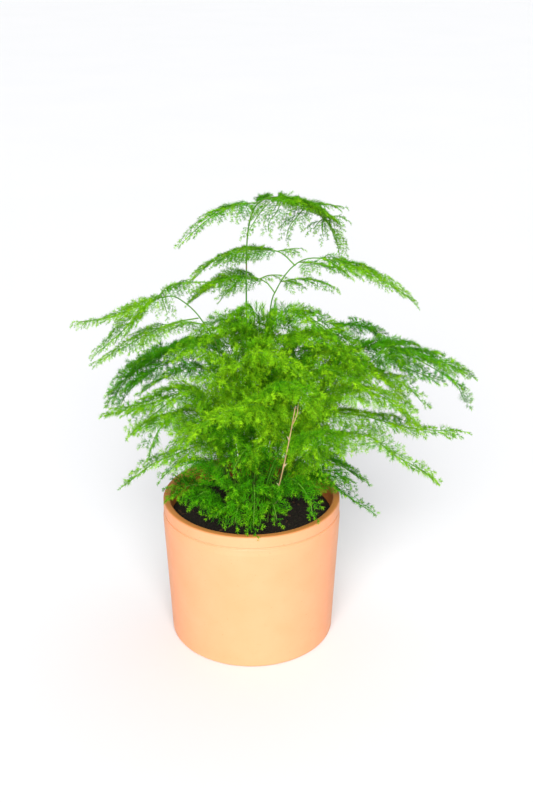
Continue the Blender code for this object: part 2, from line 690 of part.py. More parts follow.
def grow_axis(name, axis, laid, sag, draw, space, collection):
    """The side branches of one axis, alternating along it, and the leader that carries on to its tip."""
    corners, along, leafy_from = laid
    leader_from = leader_start(laid)
    count = max(1, round((leader_from - leafy_from) / RIB_GAP))
    ribs = []
    for k in range(count):
        share = (k + 0.4) / (count + 0.2)
        place = leafy_from + share * (leader_from - leafy_from)
        root, heading = spot(corners, along, place)
        side = 1 if k % 2 else -1
        swell = RIB_NEAR_SHARE + (1 - RIB_NEAR_SHARE) * min(1, share / RIB_SWELL_OVER)
        length = axis.spread * MM * swell * (1 - RIB_TAPER * share) * draw.uniform(*RIB_LENGTHS)
        angle = RIB_ANGLE - RIB_ANGLE_LOSS * share
        for tilt in RIB_TILTS:
            for shrink in RIB_SHORTENINGS:
                line = branch_line(root, heading, side, angle, length * shrink, sag, tilt)
                rib_name = f"{name}_rib_{k:02d}"
                if space.is_clear(line, RIB_RADIUS, [name]) and space.is_clear(line[1:], RIB_RADIUS, []):
                    ribs.append((rib_name, line, 180 * (k % 2)))
                    space.add(line, RIB_RADIUS, rib_name)
                    break
            else:
                continue
            break
    ribs.append((f"{name}_leader", leader_part(laid), 0))
    for rib_name, line, roll in ribs:
        grow_rib(rib_name, line, roll, draw, space, collection)


def lay_frond(name, axes, space):
    """Settles the line of each of a frond's axes, each arm rooted on an earlier axis, before any growth."""
    laid = []
    rooted = np.zeros((0, 3))
    for axis in axes:
        corners, along, leafy_from = lay_axis(axis)
        if laid:
            corners[0] = rooted[np.argmin(np.linalg.norm(rooted - corners[0], axis=1))]
        laid.append((corners, along, leafy_from))
        samples = np.linspace(0, along[-1], ROOT_SAMPLES)
        rooted = np.vstack([rooted, [spot(corners, along, place)[0] for place in samples]])
    for number, line in enumerate(laid):
        space.add(stem_part(line), STEM_RADIUS, f"{name}_axis_{number}_stem")
        space.add(leader_part(line), RIB_RADIUS, f"{name}_axis_{number}_leader")
    return laid


def leader_start(laid):
    """The distance along an axis where its stem ends and its leader, the last branch, carries on."""
    _, along, leafy_from = laid
    return along[-1] - min(LEADER_SHARE * (along[-1] - leafy_from), LEADER)


def leader_part(laid):
    """The line of an axis's leader, from its root inside the stem's end to the frond's tip."""
    corners, along, _ = laid
    places = np.linspace(leader_start(laid), along[-1], 4)
    return np.array([spot(corners, along, place)[0] for place in places[:-1]] + [corners[-1]])


def stem_part(laid):
    """The corners of an axis's stem, which ends just past the root of its leader."""
    corners, along, _ = laid
    end = leader_start(laid) + LEADER_ROOT
    kept = corners[along < end - 3 * MM]
    return np.vstack([kept, spot(corners, along, end)[0]])


def grow_frond(name, axes, laid, space, collection, material):
    """A whole leafy stem: its axes and side branches, joined into one solid."""
    draw = random.Random(name)
    sag = HIGH_RIB_SAG if name in HIGH_FRONDS else RIB_SAG
    growth = new_collection(name + "_growth")
    stem_corners = stem_part(laid[0])
    stem_radii = np.linspace(STEM_RADIUS, STEM_END_RADIUS, len(stem_corners))
    stem = tube(name, stem_corners, stem_radii, collection)
    stem.data.materials.append(material)
    for number, (axis, line) in enumerate(zip(axes, laid)):
        if number:
            arm = stem_part(line)
            tube(f"{name}_arm_{number}", arm, [ARM_ROOT_RADIUS] + [ARM_RADIUS] * (len(arm) - 1), growth)
        grow_axis(f"{name}_axis_{number}", axis, line, sag, draw, space, growth)
    join_all(stem, growth)
    return stem


def join_all(body, growth):
    """Joins a collection's solids to the body with one Boolean union, then removes them."""
    union = body.modifiers.new("Join", "BOOLEAN")
    union.operation = "UNION"
    union.operand_type = "COLLECTION"
    union.collection = growth
    union.solver = "MANIFOLD"
    bpy.context.view_layer.update()
    graph = bpy.context.evaluated_depsgraph_get()
    joined = bpy.data.meshes.new_from_object(body.evaluated_get(graph), depsgraph=graph)
    body.modifiers.clear()
    body.data = joined
    for thing in list(growth.objects):
        bpy.data.objects.remove(thing, do_unlink=True)
    bpy.data.collections.remove(growth)


def make_dry_stem(space, collection, material):
    """The old bare stem, with a papery bract at each of its joints and a thin twig near its top."""
    x, y = DRY_STEM[0]
    points = [(x, y, STEM_FOOT / MM), (x, y, STEM_UPRIGHT_TO / MM)] + DRY_STEM[1:]
    line, along = smooth_line(np.array(points) * MM)
    upright = STEM_UPRIGHT_TO - STEM_FOOT
    places = np.concatenate([[0], np.linspace(upright, along[-1], DRY_CORNERS)])
    corners = read_line(line, along, places)
    along = np.concatenate([[0], np.cumsum(np.linalg.norm(np.diff(corners, axis=0), axis=1))])
    stem = tube("dry_stem", corners, np.linspace(STEM_RADIUS, STEM_END_RADIUS, len(corners)), collection)
    stem.data.materials.append(material)
    space.add(corners, STEM_RADIUS, "dry_stem")
    growth = new_collection("dry_stem_growth")
    twig = np.array(DRY_TWIG) * MM
    samples = [spot(corners, along, place)[0] for place in np.linspace(0, along[-1], ROOT_SAMPLES)]
    twig[0] = min(samples, key=lambda sample: np.linalg.norm(sample - twig[0]))
    tube("dry_twig", twig, [TWIG_RADIUS] * len(twig), growth)
    space.add(twig, TWIG_RADIUS, "dry_stem")
    for number, share in enumerate(DRY_BRACTS):
        root, heading = spot(corners, along, share * along[-1])
        across, _ = rib_frame(heading)
        out = across if number % 2 else -across
        tip = root + BRACT * unit(heading + out)
        bract_line = np.array([root, (root + tip) / 2, tip])
        tube(f"bract_{number}", bract_line, [BRACT_ROOT_RADIUS, BRACT_RADIUS, BRACT_TIP_RADIUS], growth)
        space.add(bract_line, BRACT_RADIUS, "dry_stem")
    join_all(stem, growth)
    return stem


def main():
    clear_scene()
    plant = new_collection("lace_fern")
    cutters = new_collection("cutters")
    clay = new_material("orange_clay", (0.90, 0.43, 0.17), 0.5)
    earth = new_material("potting_soil", (0.020, 0.013, 0.008), 0.95)
    leaf = new_material("fern_green", (0.16, 0.42, 0.02), 0.55)
    straw = new_material("dry_stem", (0.55, 0.38, 0.16), 0.7)
    make_pot(plant, clay)
    space = Space()
    laid = {name: lay_frond(name, axes, space) for name, axes in FRONDS.items()}
    make_dry_stem(space, plant, straw)
    for name, axes in FRONDS.items():
        grow_frond(name, axes, laid[name], space, plant, leaf)
    feet = [(axes[0].points[0][0] * MM, axes[0].points[0][1] * MM, STEM_RADIUS) for axes in FRONDS.values()]
    feet.append((DRY_STEM[0][0] * MM, DRY_STEM[0][1] * MM, STEM_RADIUS))
    make_soil(plant, cutters, earth, feet)


main()
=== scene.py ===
# A potted lace fern: a round clay pot full of dark soil, and wiry green stems that spread flat, arching tiers
# of needle-fine shoots over it. Everything is in metres, round the middle of the pot's underside, with -Y in
# front.
import math
from collections import namedtuple

import bmesh
import bpy
import numpy as np
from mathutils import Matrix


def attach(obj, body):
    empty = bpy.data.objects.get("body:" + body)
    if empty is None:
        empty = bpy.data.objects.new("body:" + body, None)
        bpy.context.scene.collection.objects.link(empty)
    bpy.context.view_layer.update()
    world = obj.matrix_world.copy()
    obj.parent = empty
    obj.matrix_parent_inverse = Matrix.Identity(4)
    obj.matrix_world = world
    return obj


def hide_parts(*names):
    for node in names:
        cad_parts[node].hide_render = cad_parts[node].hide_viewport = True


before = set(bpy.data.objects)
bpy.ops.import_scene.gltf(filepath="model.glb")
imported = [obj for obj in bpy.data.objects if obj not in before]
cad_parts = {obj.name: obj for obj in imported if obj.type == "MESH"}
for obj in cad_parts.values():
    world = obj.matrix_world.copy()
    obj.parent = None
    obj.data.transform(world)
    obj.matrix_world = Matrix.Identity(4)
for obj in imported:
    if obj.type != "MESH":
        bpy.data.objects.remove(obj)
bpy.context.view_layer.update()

# The pot. It is turned from one lump of clay, with a flat lip, a low collar that ends in a fine groove, and a
# body that tapers to a rounded foot. A thin coat of matt orange slip covers its outside, with faint turning
# lines under the coat. The top of the lip and the whole inside are painted a deeper orange: painted shade,
# and on the inside also the orange light bounced round in the pot.
MM = 0.001
POT_RADIUS = 70 * MM
POT_FOOT_RADIUS = 65.8 * MM
POT_HEIGHT = 119 * MM
POT_WALL = 5.6 * MM
POT_FLOOR = 6 * MM
RIM_INSIDE = POT_RADIUS - POT_WALL
FOOT_INSIDE = POT_FOOT_RADIUS - POT_WALL
FOOT_ROUND = 2.5 * MM
INSIDE_ROUND = 4 * MM
LIP_ROUND = 1.4 * MM
GROOVE_TOP = 109.8 * MM
GROOVE_DEPTH = 0.7 * MM
SHOULDER_TOP = 108.3 * MM
SHOULDER_OUT = 0.4 * MM
SHOULDER_CURVE = [(0.15, 2.8), (0.75, 4.2), (1, 5), (1, 6.5), (0.8, 9)]
POT_STEPS = 160
CLOUD_WIDTH = 26
FRECKLE_WIDTH = 1.1
CLAY_GRAIN = 0.8
TURNING_SCALE = 130
SLIP_ROUGHNESS = (0.44, 0.6)
SLIP_ORANGE = (0.86, 0.352, 0.162)
SLIP_PALE = (0.88, 0.382, 0.19)
# The deep orange of the freckles, which is also painted on the top of the lip as shade.
SLIP_FRECKLES_AND_LIP_SHADE = (0.58, 0.215, 0.055)
# A deeper, redder orange painted on the inside as its shade and the orange light bounced round in it.
INSIDE_PAINTED_SHADE = (0.82, 0.25, 0.06)


def arc(centre_x, centre_z, radius, start, end, steps):
    """Points on an arc in the profile's plane, with its angles in degrees from +X."""
    turns = [math.radians(start + (end - start) * k / steps) for k in range(steps + 1)]
    return [(centre_x + radius * math.cos(a), centre_z + radius * math.sin(a)) for a in turns]


def pot_inner_radius(height):
    """The radius of the pot's inside at a height above its underside."""
    return FOOT_INSIDE + (RIM_INSIDE - FOOT_INSIDE) * (height - POT_FLOOR) / (POT_HEIGHT - POT_FLOOR)


def add_piece(name, data, *materials):
    """A new piece of the object that rides on its one body."""
    piece = bpy.data.objects.new(name, data)
    bpy.context.scene.collection.objects.link(piece)
    for material in materials:
        data.materials.append(material)
    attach(piece, "root")
    return piece


def new_group(name, inputs, outputs):
    """A shader node group with named number inputs and outputs."""
    group = bpy.data.node_groups.new(name, "ShaderNodeTree")
    for label, value in inputs.items():
        socket = group.interface.new_socket(label, in_out="INPUT", socket_type="NodeSocketFloat")
        socket.default_value = value
    for label in outputs:
        group.interface.new_socket(label, in_out="OUTPUT", socket_type="NodeSocketFloat")
    return group, group.nodes.new("NodeGroupInput"), group.nodes.new("NodeGroupOutput")


def mottle_group():
    """Soft, uneven patches, as a mask from 0 to 1. Size is the patches' width in millimetres."""
    group, given, result = new_group("mottle", {"Size": 10, "Detail": 3, "Contrast": 0.3}, ["Mask"])
    node = group.nodes.new
    link = group.links.new
    place = node("ShaderNodeTexCoord")
    per_metre = node("ShaderNodeMath")
    per_metre.operation = "DIVIDE"
    per_metre.inputs[0].default_value = 1 / MM
    link(given.outputs["Size"], per_metre.inputs[1])
    noise = node("ShaderNodeTexNoise")
    link(place.outputs["Object"], noise.inputs["Vector"])
    link(per_metre.outputs[0], noise.inputs["Scale"])
    link(given.outputs["Detail"], noise.inputs["Detail"])
    spread = node("ShaderNodeMapRange")
    link(noise.outputs["Fac"], spread.inputs["Value"])
    for operation, end in (("SUBTRACT", "From Min"), ("ADD", "From Max")):
        limit = node("ShaderNodeMath")
        limit.operation = operation
        limit.inputs[0].default_value = 0.5
        link(given.outputs["Contrast"], limit.inputs[1])
        link(limit.outputs[0], spread.inputs[end])
    link(spread.outputs["Result"], result.inputs["Mask"])
    return group


mottle = mottle_group()


def add_mottle(tree, size, detail=3, contrast=0.3):
    """Places the mottle group in a material with its own values, and gives its mask."""
    node = tree.nodes.new("ShaderNodeGroup")
    node.node_tree = mottle
    node.inputs["Size"].default_value = size
    node.inputs["Detail"].default_value = detail
    node.inputs["Contrast"].default_value = contrast
    return node.outputs["Mask"]


def new_material(name, roughness):
    """A material with its Principled shader, and its node tree."""
    material = bpy.data.materials.new(name)
    material.use_nodes = True
    shader = material.node_tree.nodes["Principled BSDF"]
    shader.inputs["Roughness"].default_value = roughness
    return material, material.node_tree, shader


def mix_colours(tree, mask, first, second):
    """A blend of two colours by a mask. Each colour is a value or another node's output."""
    node = tree.nodes.new("ShaderNodeMix")
    node.data_type = "RGBA"
    for socket, colour in ((node.inputs[6], first), (node.inputs[7], second)):
        if isinstance(colour, tuple):
            socket.default_value = (*colour, 1)
        else:
            tree.links.new(colour, socket)
    tree.links.new(mask, node.inputs[0])
    return node.outputs[2]


def ramp(tree, value, low, high):
    """A mask that runs from 0 at one value to 1 at the other."""
    node = tree.nodes.new("ShaderNodeMapRange")
    node.inputs["From Min"].default_value = low
    node.inputs["From Max"].default_value = high
    tree.links.new(value, node.inputs["Value"])
    return node.outputs["Result"]


def vary_roughness(tree, shader, mask, low, high):
    """Lets a surface's roughness run from low to high with a mask."""
    node = tree.nodes.new("ShaderNodeMapRange")
    node.inputs["To Min"].default_value = low
    node.inputs["To Max"].default_value = high
    tree.links.new(mask, node.inputs["Value"])
    tree.links.new(node.outputs["Result"], shader.inputs["Roughness"])


def add_bump(tree, shader, height, strength, distance):
    """Raises a surface by a height mask, over whatever bump it has so far."""
    node = tree.nodes.new("ShaderNodeBump")
    node.inputs["Strength"].default_value = strength
    node.inputs["Distance"].default_value = distance
    tree.links.new(height, node.inputs["Height"])
    if shader.inputs["Normal"].links:
        tree.links.new(shader.inputs["Normal"].links[0].from_socket, node.inputs["Normal"])
    tree.links.new(node.outputs["Normal"], shader.inputs["Normal"])


def height_and_reach(tree):
    """How high a surface's points lie over the object's underside, and how far from its upright axis."""
    place = tree.nodes.new("ShaderNodeTexCoord")
    split = tree.nodes.new("ShaderNodeSeparateXYZ")
    tree.links.new(place.outputs["Object"], split.inputs[0])
    level = tree.nodes.new("ShaderNodeVectorMath")
    level.operation = "MULTIPLY"
    level.inputs[1].default_value = (1, 1, 0)
    tree.links.new(place.outputs["Object"], level.inputs[0])
    reach = tree.nodes.new("ShaderNodeVectorMath")
    reach.operation = "LENGTH"
    tree.links.new(level.outputs[0], reach.inputs[0])
    return split.outputs["Z"], reach.outputs["Value"]


def clay_material():
    """Orange slip, a little cloudy and freckled, with painted shade on the top of the lip and on the whole
    inside.
    """
    material, tree, shader = new_material("orange_slip", 0.52)
    cloudy = mix_colours(tree, add_mottle(tree, CLOUD_WIDTH, 2, 0.28), SLIP_ORANGE, SLIP_PALE)
    freckles = ramp(tree, add_mottle(tree, FRECKLE_WIDTH, 1, 0.5), 0.69, 0.9)
    freckled = mix_colours(tree, freckles, cloudy, SLIP_FRECKLES_AND_LIP_SHADE)
    height, reach = height_and_reach(tree)
    # Painted shade: the top of the lip is darkened for the shade that falls on it from the fronds above.
    lip = ramp(tree, height, POT_HEIGHT - 1.2 * MM, POT_HEIGHT - 0.1 * MM)
    shaded_lip = mix_colours(tree, lip, freckled, SLIP_FRECKLES_AND_LIP_SHADE)
    # Painted shade and painted bounced light: the inside wall and floor get a deeper, redder orange.
    inside = ramp(tree, reach, RIM_INSIDE + 0.5 * MM, RIM_INSIDE + 0.1 * MM)
    tree.links.new(mix_colours(tree, inside, shaded_lip, INSIDE_PAINTED_SHADE), shader.inputs["Base Color"])
    vary_roughness(tree, shader, add_mottle(tree, 7, 4, 0.3), *SLIP_ROUGHNESS)
    place = tree.nodes.new("ShaderNodeTexCoord")
    turning = tree.nodes.new("ShaderNodeTexWave")
    turning.bands_direction = "Z"
    turning.inputs["Scale"].default_value = TURNING_SCALE
    turning.inputs["Distortion"].default_value = 1.5
    turning.inputs["Detail"].default_value = 2
    tree.links.new(place.outputs["Object"], turning.inputs["Vector"])
    add_bump(tree, shader, turning.outputs["Fac"], 0.12, 0.1 * MM)
    add_bump(tree, shader, add_mottle(tree, CLAY_GRAIN, 4, 0.5), 0.25, 0.08 * MM)
    return material


def turned_mesh(name, profile, steps):
    """A closed solid of revolution. Its profile runs from the axis, round its outside, to the axis again."""
    mesh = bpy.data.meshes.new(name)
    shape = bmesh.new()
    corners = [shape.verts.new((x, 0, z)) for x, z in profile]
    parts = corners + [shape.edges.new(pair) for pair in zip(corners, corners[1:])]
    bmesh.ops.spin(shape, geom=parts, cent=(0, 0, 0), axis=(0, 0, 1), angle=2 * math.pi, steps=steps)
    bmesh.ops.remove_doubles(shape, verts=shape.verts[:], dist=0.01 * MM)
    bmesh.ops.recalc_face_normals(shape, faces=shape.faces[:])
    shape.to_mesh(mesh)
    shape.free()
    mesh.shade_smooth()
    return mesh


pot_profile = [(0, POT_FLOOR), (FOOT_INSIDE - 1.5 * INSIDE_ROUND, POT_FLOOR)]
pot_profile += arc(FOOT_INSIDE - INSIDE_ROUND, POT_FLOOR + INSIDE_ROUND, INSIDE_ROUND, -90, 0, 6)
pot_profile += [(RIM_INSIDE, POT_HEIGHT - 8 * MM)]
pot_profile += arc(RIM_INSIDE + LIP_ROUND, POT_HEIGHT - LIP_ROUND, LIP_ROUND, 180, 90, 6)
pot_profile += arc(POT_RADIUS - LIP_ROUND, POT_HEIGHT - LIP_ROUND, LIP_ROUND, 90, 0, 6)
pot_profile += [(POT_RADIUS, GROOVE_TOP + 0.5 * MM)]
pot_profile += arc(POT_RADIUS, GROOVE_TOP - GROOVE_DEPTH, GROOVE_DEPTH, 90, 270, 8)
pot_profile += [(POT_RADIUS - 0.02 * MM, SHOULDER_TOP - 0.8 * MM), (POT_RADIUS, SHOULDER_TOP - 2 * MM)]
pot_profile += [(POT_RADIUS + out * SHOULDER_OUT, SHOULDER_TOP - fall * MM) for out, fall in SHOULDER_CURVE]
pot_profile += arc(POT_FOOT_RADIUS - FOOT_ROUND, FOOT_ROUND, FOOT_ROUND, 0, -90, 10)
pot_profile += [(POT_FOOT_RADIUS - 3 * FOOT_ROUND, 0), (0, 0)]
pot = add_piece("clay_pot", turned_mesh("clay_pot", pot_profile, POT_STEPS), clay_material())
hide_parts("pot")

# The soil. It is loose, peaty potting mix, filled to a finger's width below the rim and sunk a little at the
# wall: nearly black and damp, crumbly, with a few brown scraps of bark on it.
SOIL_LEVEL = 103 * MM
SOIL_RISE = 2.5 * MM
SOIL_RELIEF = 0.9 * MM
SOIL_GAP = 0.3 * MM
SOIL_RINGS = 64
SOIL_SECTORS = 150
CRUMB_WAVES = [(5.2, 0.50, 0.3), (3.1, 0.34, 1.4), (1.9, 0.26, 2.3), (1.3, 0.2, 0.9)]
CRUMBS = 1100
CRUMB_SIZES = (0.5, 1.5)
CRUMB_FLATNESS = (0.6, 1)
CRUMB_SEED = 11
BARK_SCRAPS = 70
BARK_SIZES = (1.2, 3.2)
BARK_FLATNESS = (0.25, 0.6)
BARK_SEED = 12
LUMP_RISE = 0.25
SOIL_ROUGHNESS = (0.8, 1.0)
SOIL_DARK = (0.006, 0.004, 0.0025)
SOIL_BROWN = (0.026, 0.016, 0.008)
BARK_BROWN = (0.10, 0.045, 0.018)


def soil_height(x, y):
    """The soil's broad surface: a low mound that falls to the wall, with gentle lumps."""
    share = np.minimum(1.0, np.hypot(x, y) / pot_inner_radius(SOIL_LEVEL))
    lumps = np.sin(x / MM * 0.21 + 1.3) * np.cos(y / MM * 0.17 - 0.6) + 0.5 * np.sin((x + y) / MM * 0.11)
    return SOIL_LEVEL + SOIL_RISE * (1 - share**2) + SOIL_RELIEF * lumps * (1 - share**4)


def crumble(x, y):
    """Fine unevenness on the soil, about a millimetre deep, from a few crossing waves of different widths."""
    height = 0
    for width, depth, turn in CRUMB_WAVES:
        across = x * math.cos(turn) + y * math.sin(turn)
        along = y * math.cos(turn) - x * math.sin(turn)
        wave = 2 * math.pi / (width * MM)
        bent = np.sin(wave * across + 2 * np.sin(0.4 * wave * along))
        height = height + depth * MM * bent * np.cos(wave * along)
    return height


def mesh_of(name, corners, triangles, smooth, numbers=None, slots=None):
    """A mesh from arrays of corners and triangles, with any named numbers that it carries at its corners."""
    mesh = bpy.data.meshes.new(name)
    mesh.vertices.add(len(corners))
    mesh.vertices.foreach_set("co", np.asarray(corners, np.float32).ravel())
    mesh.loops.add(3 * len(triangles))
    mesh.loops.foreach_set("vertex_index", np.asarray(triangles, np.int32).ravel())
    mesh.polygons.add(len(triangles))
    mesh.polygons.foreach_set("loop_start", np.arange(0, 3 * len(triangles), 3, dtype=np.int32))
    if slots is not None:
        mesh.polygons.foreach_set("material_index", np.asarray(slots, np.int32))
    mesh.update(calc_edges=True)
    for label, values in (numbers or {}).items():
        mesh.attributes.new(label, "FLOAT", "POINT").data.foreach_set("value", np.asarray(values, np.float32))
    if smooth:
        mesh.shade_smooth()
    mesh.validate()
    return mesh


def soil_mesh():
    """The soil as one closed solid: a crumbly top, the sides along the wall, and a flat bottom."""
    turns = np.arange(SOIL_SECTORS) * 2 * math.pi / SOIL_SECTORS
    edge = pot_inner_radius(SOIL_LEVEL) - SOIL_GAP
    bottom = POT_FLOOR + SOIL_GAP
    rings = []
    for ring in range(1, SOIL_RINGS + 1):
        x = edge * ring / SOIL_RINGS * np.cos(turns)
        y = edge * ring / SOIL_RINGS * np.sin(turns)
        fade = min(1.0, (SOIL_RINGS - ring) / 3)
        rings.append(np.stack([x, y, soil_height(x, y) + fade * crumble(x, y)], axis=1))
    low_edge = pot_inner_radius(bottom) - 5 * MM
    for radius, height in ((low_edge, bottom + 4 * MM), (FOOT_INSIDE - 9 * MM, bottom)):
        rings.append(np.stack([radius * np.cos(turns), radius * np.sin(turns), 0 * turns + height], axis=1))
    corners = np.vstack([[(0, 0, soil_height(0, 0))]] + rings + [[(0, 0, bottom)]])
    spot = np.arange(SOIL_SECTORS)
    after = (spot + 1) % SOIL_SECTORS
    triangles = [np.stack([np.zeros_like(spot), 1 + spot, 1 + after], axis=1)]
    for ring in range(len(rings) - 1):
        here = 1 + ring * SOIL_SECTORS
        beyond = here + SOIL_SECTORS
        triangles.append(np.stack([here + spot, beyond + spot, beyond + after], axis=1))
        triangles.append(np.stack([here + spot, beyond + after, here + after], axis=1))
    last = 1 + (len(rings) - 1) * SOIL_SECTORS
    triangles.append(np.stack([last + after, last + spot, np.full_like(spot, len(corners) - 1)], axis=1))
    return mesh_of("potting_soil", corners, np.vstack(triangles), True)


def scattered_bits(name, count, sizes, flatness, seed):
    """Small rough lumps that lie half sunk on the soil, as one mesh of closed pieces."""
    draw = np.random.default_rng(seed)
    lump = bmesh.new()
    bmesh.ops.create_icosphere(lump, subdivisions=1, radius=1)
    base = np.array([corner.co[:] for corner in lump.verts])
    faces = np.array([[corner.index for corner in face.verts] for face in lump.faces])
    lump.free()
    reach = pot_inner_radius(SOIL_LEVEL) - 3 * MM
    corners = []
    for _ in range(count):
        out = reach * math.sqrt(draw.random())
        turn = draw.uniform(0, 2 * math.pi)
        x = out * math.cos(turn)
        y = out * math.sin(turn)
        size = draw.uniform(*sizes) * MM * np.array([1, draw.uniform(*flatness), draw.uniform(*flatness)])
        shape = base * size * draw.uniform(0.75, 1.2, (len(base), 1))
        spin = draw.uniform(0, 2 * math.pi)
        tip = draw.normal(0, 0.35)
        level = [[math.cos(spin), -math.sin(spin), 0], [math.sin(spin), math.cos(spin), 0], [0, 0, 1]]
        lean = [[math.cos(tip), 0, math.sin(tip)], [0, 1, 0], [-math.sin(tip), 0, math.cos(tip)]]
        height = soil_height(x, y) + LUMP_RISE * size[2]
        corners.append(shape @ np.transpose(lean) @ np.transpose(level) + (x, y, height))
    steps = np.arange(count)[:, None, None] * len(base)
    return mesh_of(name, np.vstack(corners), (faces[None] + steps).reshape(-1, 3), False)


def soil_material(name, dark, light, size):
    """Dull, damp stuff in patches of two browns, with a fine crumbly bump."""
    material, tree, shader = new_material(name, 0.92)
    patches = add_mottle(tree, size, 5, 0.22)
    tree.links.new(mix_colours(tree, patches, dark, light), shader.inputs["Base Color"])
    vary_roughness(tree, shader, add_mottle(tree, 3, 2, 0.3), *SOIL_ROUGHNESS)
    add_bump(tree, shader, add_mottle(tree, 0.7, 5, 0.5), 0.7, 0.3 * MM)
    return material


peat = soil_material("damp_peat", SOIL_DARK, SOIL_BROWN, 1.6)
soil = add_piece("potting_soil", soil_mesh(), peat)
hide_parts("soil")
crumb_mesh = scattered_bits("soil_crumbs", CRUMBS, CRUMB_SIZES, CRUMB_FLATNESS, CRUMB_SEED)
crumbs = add_piece("soil_crumbs", crumb_mesh, peat)
bark_mesh = scattered_bits("bark_scraps", BARK_SCRAPS, BARK_SIZES, BARK_FLATNESS, BARK_SEED)
scraps = add_piece("bark_scraps", bark_mesh, soil_material("bark_scraps", SOIL_BROWN, BARK_BROWN, 1.2))

# The leafy stems. Each is a thin, wiry green shoot that rises bare from the soil, bends over, and carries
# alternate side branches in one flat, drooping tier. They carry alternate sprigs with clusters of soft green
# needles a few millimetres long, and papery scales sit where each branch leaves the stem.
STEM_FOOT = 86 * MM
STEM_UPRIGHT_TO = 110 * MM
STEM_RADIUS = 0.8 * MM
STEM_END_RADIUS = 0.3 * MM
ARM_RADIUS = 0.5 * MM
LEADER = 30 * MM
BRANCH_GAP = 5.8 * MM
BRANCH_RADIUS = 0.3 * MM
BRANCH_END_RADIUS = 0.12 * MM
BRANCH_CORNERS = 7
BRANCH_ANGLE = 52
BRANCH_BEND = 12
BRANCH_ROLL = 0.24
BRANCH_LENGTHS = (0.8, 1.12)
LEADER_ANGLE = 38
FIRST_BRANCH = 0.72
LAST_BRANCH = 0.38
BRANCH_SAG = (0.08, 0.26)
HIGH_BRANCH_SAG = (0.2, 0.42)
FIRST_SPRIG = 1.6 * MM
SPRIG_GAP = 2.6 * MM
SPRIG_LEAST = 2.6 * MM
SPRIG_MOST = 13 * MM
SPRIG_SHARE = 0.42
SPRIG_LENGTHS = (0.8, 1.15)
END_SPRIG = 3.2 * MM
SPRIG_ANGLE = 50
SPRIG_BEND_AT = 0.52
SPRIG_DROOP = 0.16
SPRIG_WANDER = 0.1
SPRIG_RADIUS = 0.15 * MM
CLUSTER_GAP = 1.65 * MM
PAIR_TURNS = [0, 44, -44]
NEEDLE_LEAN = (30, 60)
NEEDLE_LENGTHS = (0.75, 1.12)
NEEDLE_SHORTEST = 3.4 * MM
NEEDLE_LONGEST = 5.8 * MM
NEEDLE_RADIUS = 0.255 * MM
FIRST_SCALE = 30 * MM
SCALE_GAP = 17 * MM
SCALE_LENGTH = 1.9 * MM
SCALE_WIDTH = 0.24
SCALE_LEAN = 0.55
ODD_WAY = (0.31, 0.17, 0.93)
FIRST_SEED = 100
# How much painted light each sprig gets, at random, as a mean and a spread; then the painted shade at each
# needle's root and the painted light at its tip.
SPRIG_LIGHT_SHARE = (0.62, 0.33)
ROOT_SHADE = 0.3
TIP_LIGHT = 0.15
TIP_YOUNGER = 0.12
FRESH_SHARE = 0.14
FRESH_GAIN = 0.9
# Shaded and lit copies of the needles' greens, old and young: mixing them by the share of painted light
# paints the light and shade.
NEEDLE_SHADED = (0.009, 0.07, 0.0005)
NEEDLE_LIT = (0.090, 0.50, 0.001)
YOUNG_SHADED = (0.11, 0.40, 0.003)
YOUNG_LIT = (0.50, 0.90, 0.014)
STEM_GREEN = (0.06, 0.22, 0.012)
STEM_LIME = (0.13, 0.33, 0.025)
STEM_BROWN = (0.16, 0.12, 0.05)
SCALE_CREAM = (0.74, 0.64, 0.40)

# The high fronds are finer than the rest, by this share.
FINE_FRONDS = {"frond_tall": 0.68, "frond_high_right": 0.66, "frond_high_left": 0.68}

# One leafy axis: the points that it passes, in millimetres, how many of them come before its first side
# branch, and how far its side branches reach. It ends at its tip. A stem's own axis starts in the soil, and
# an arm starts on its stem.
Axis = namedtuple("Axis", "points bare spread")

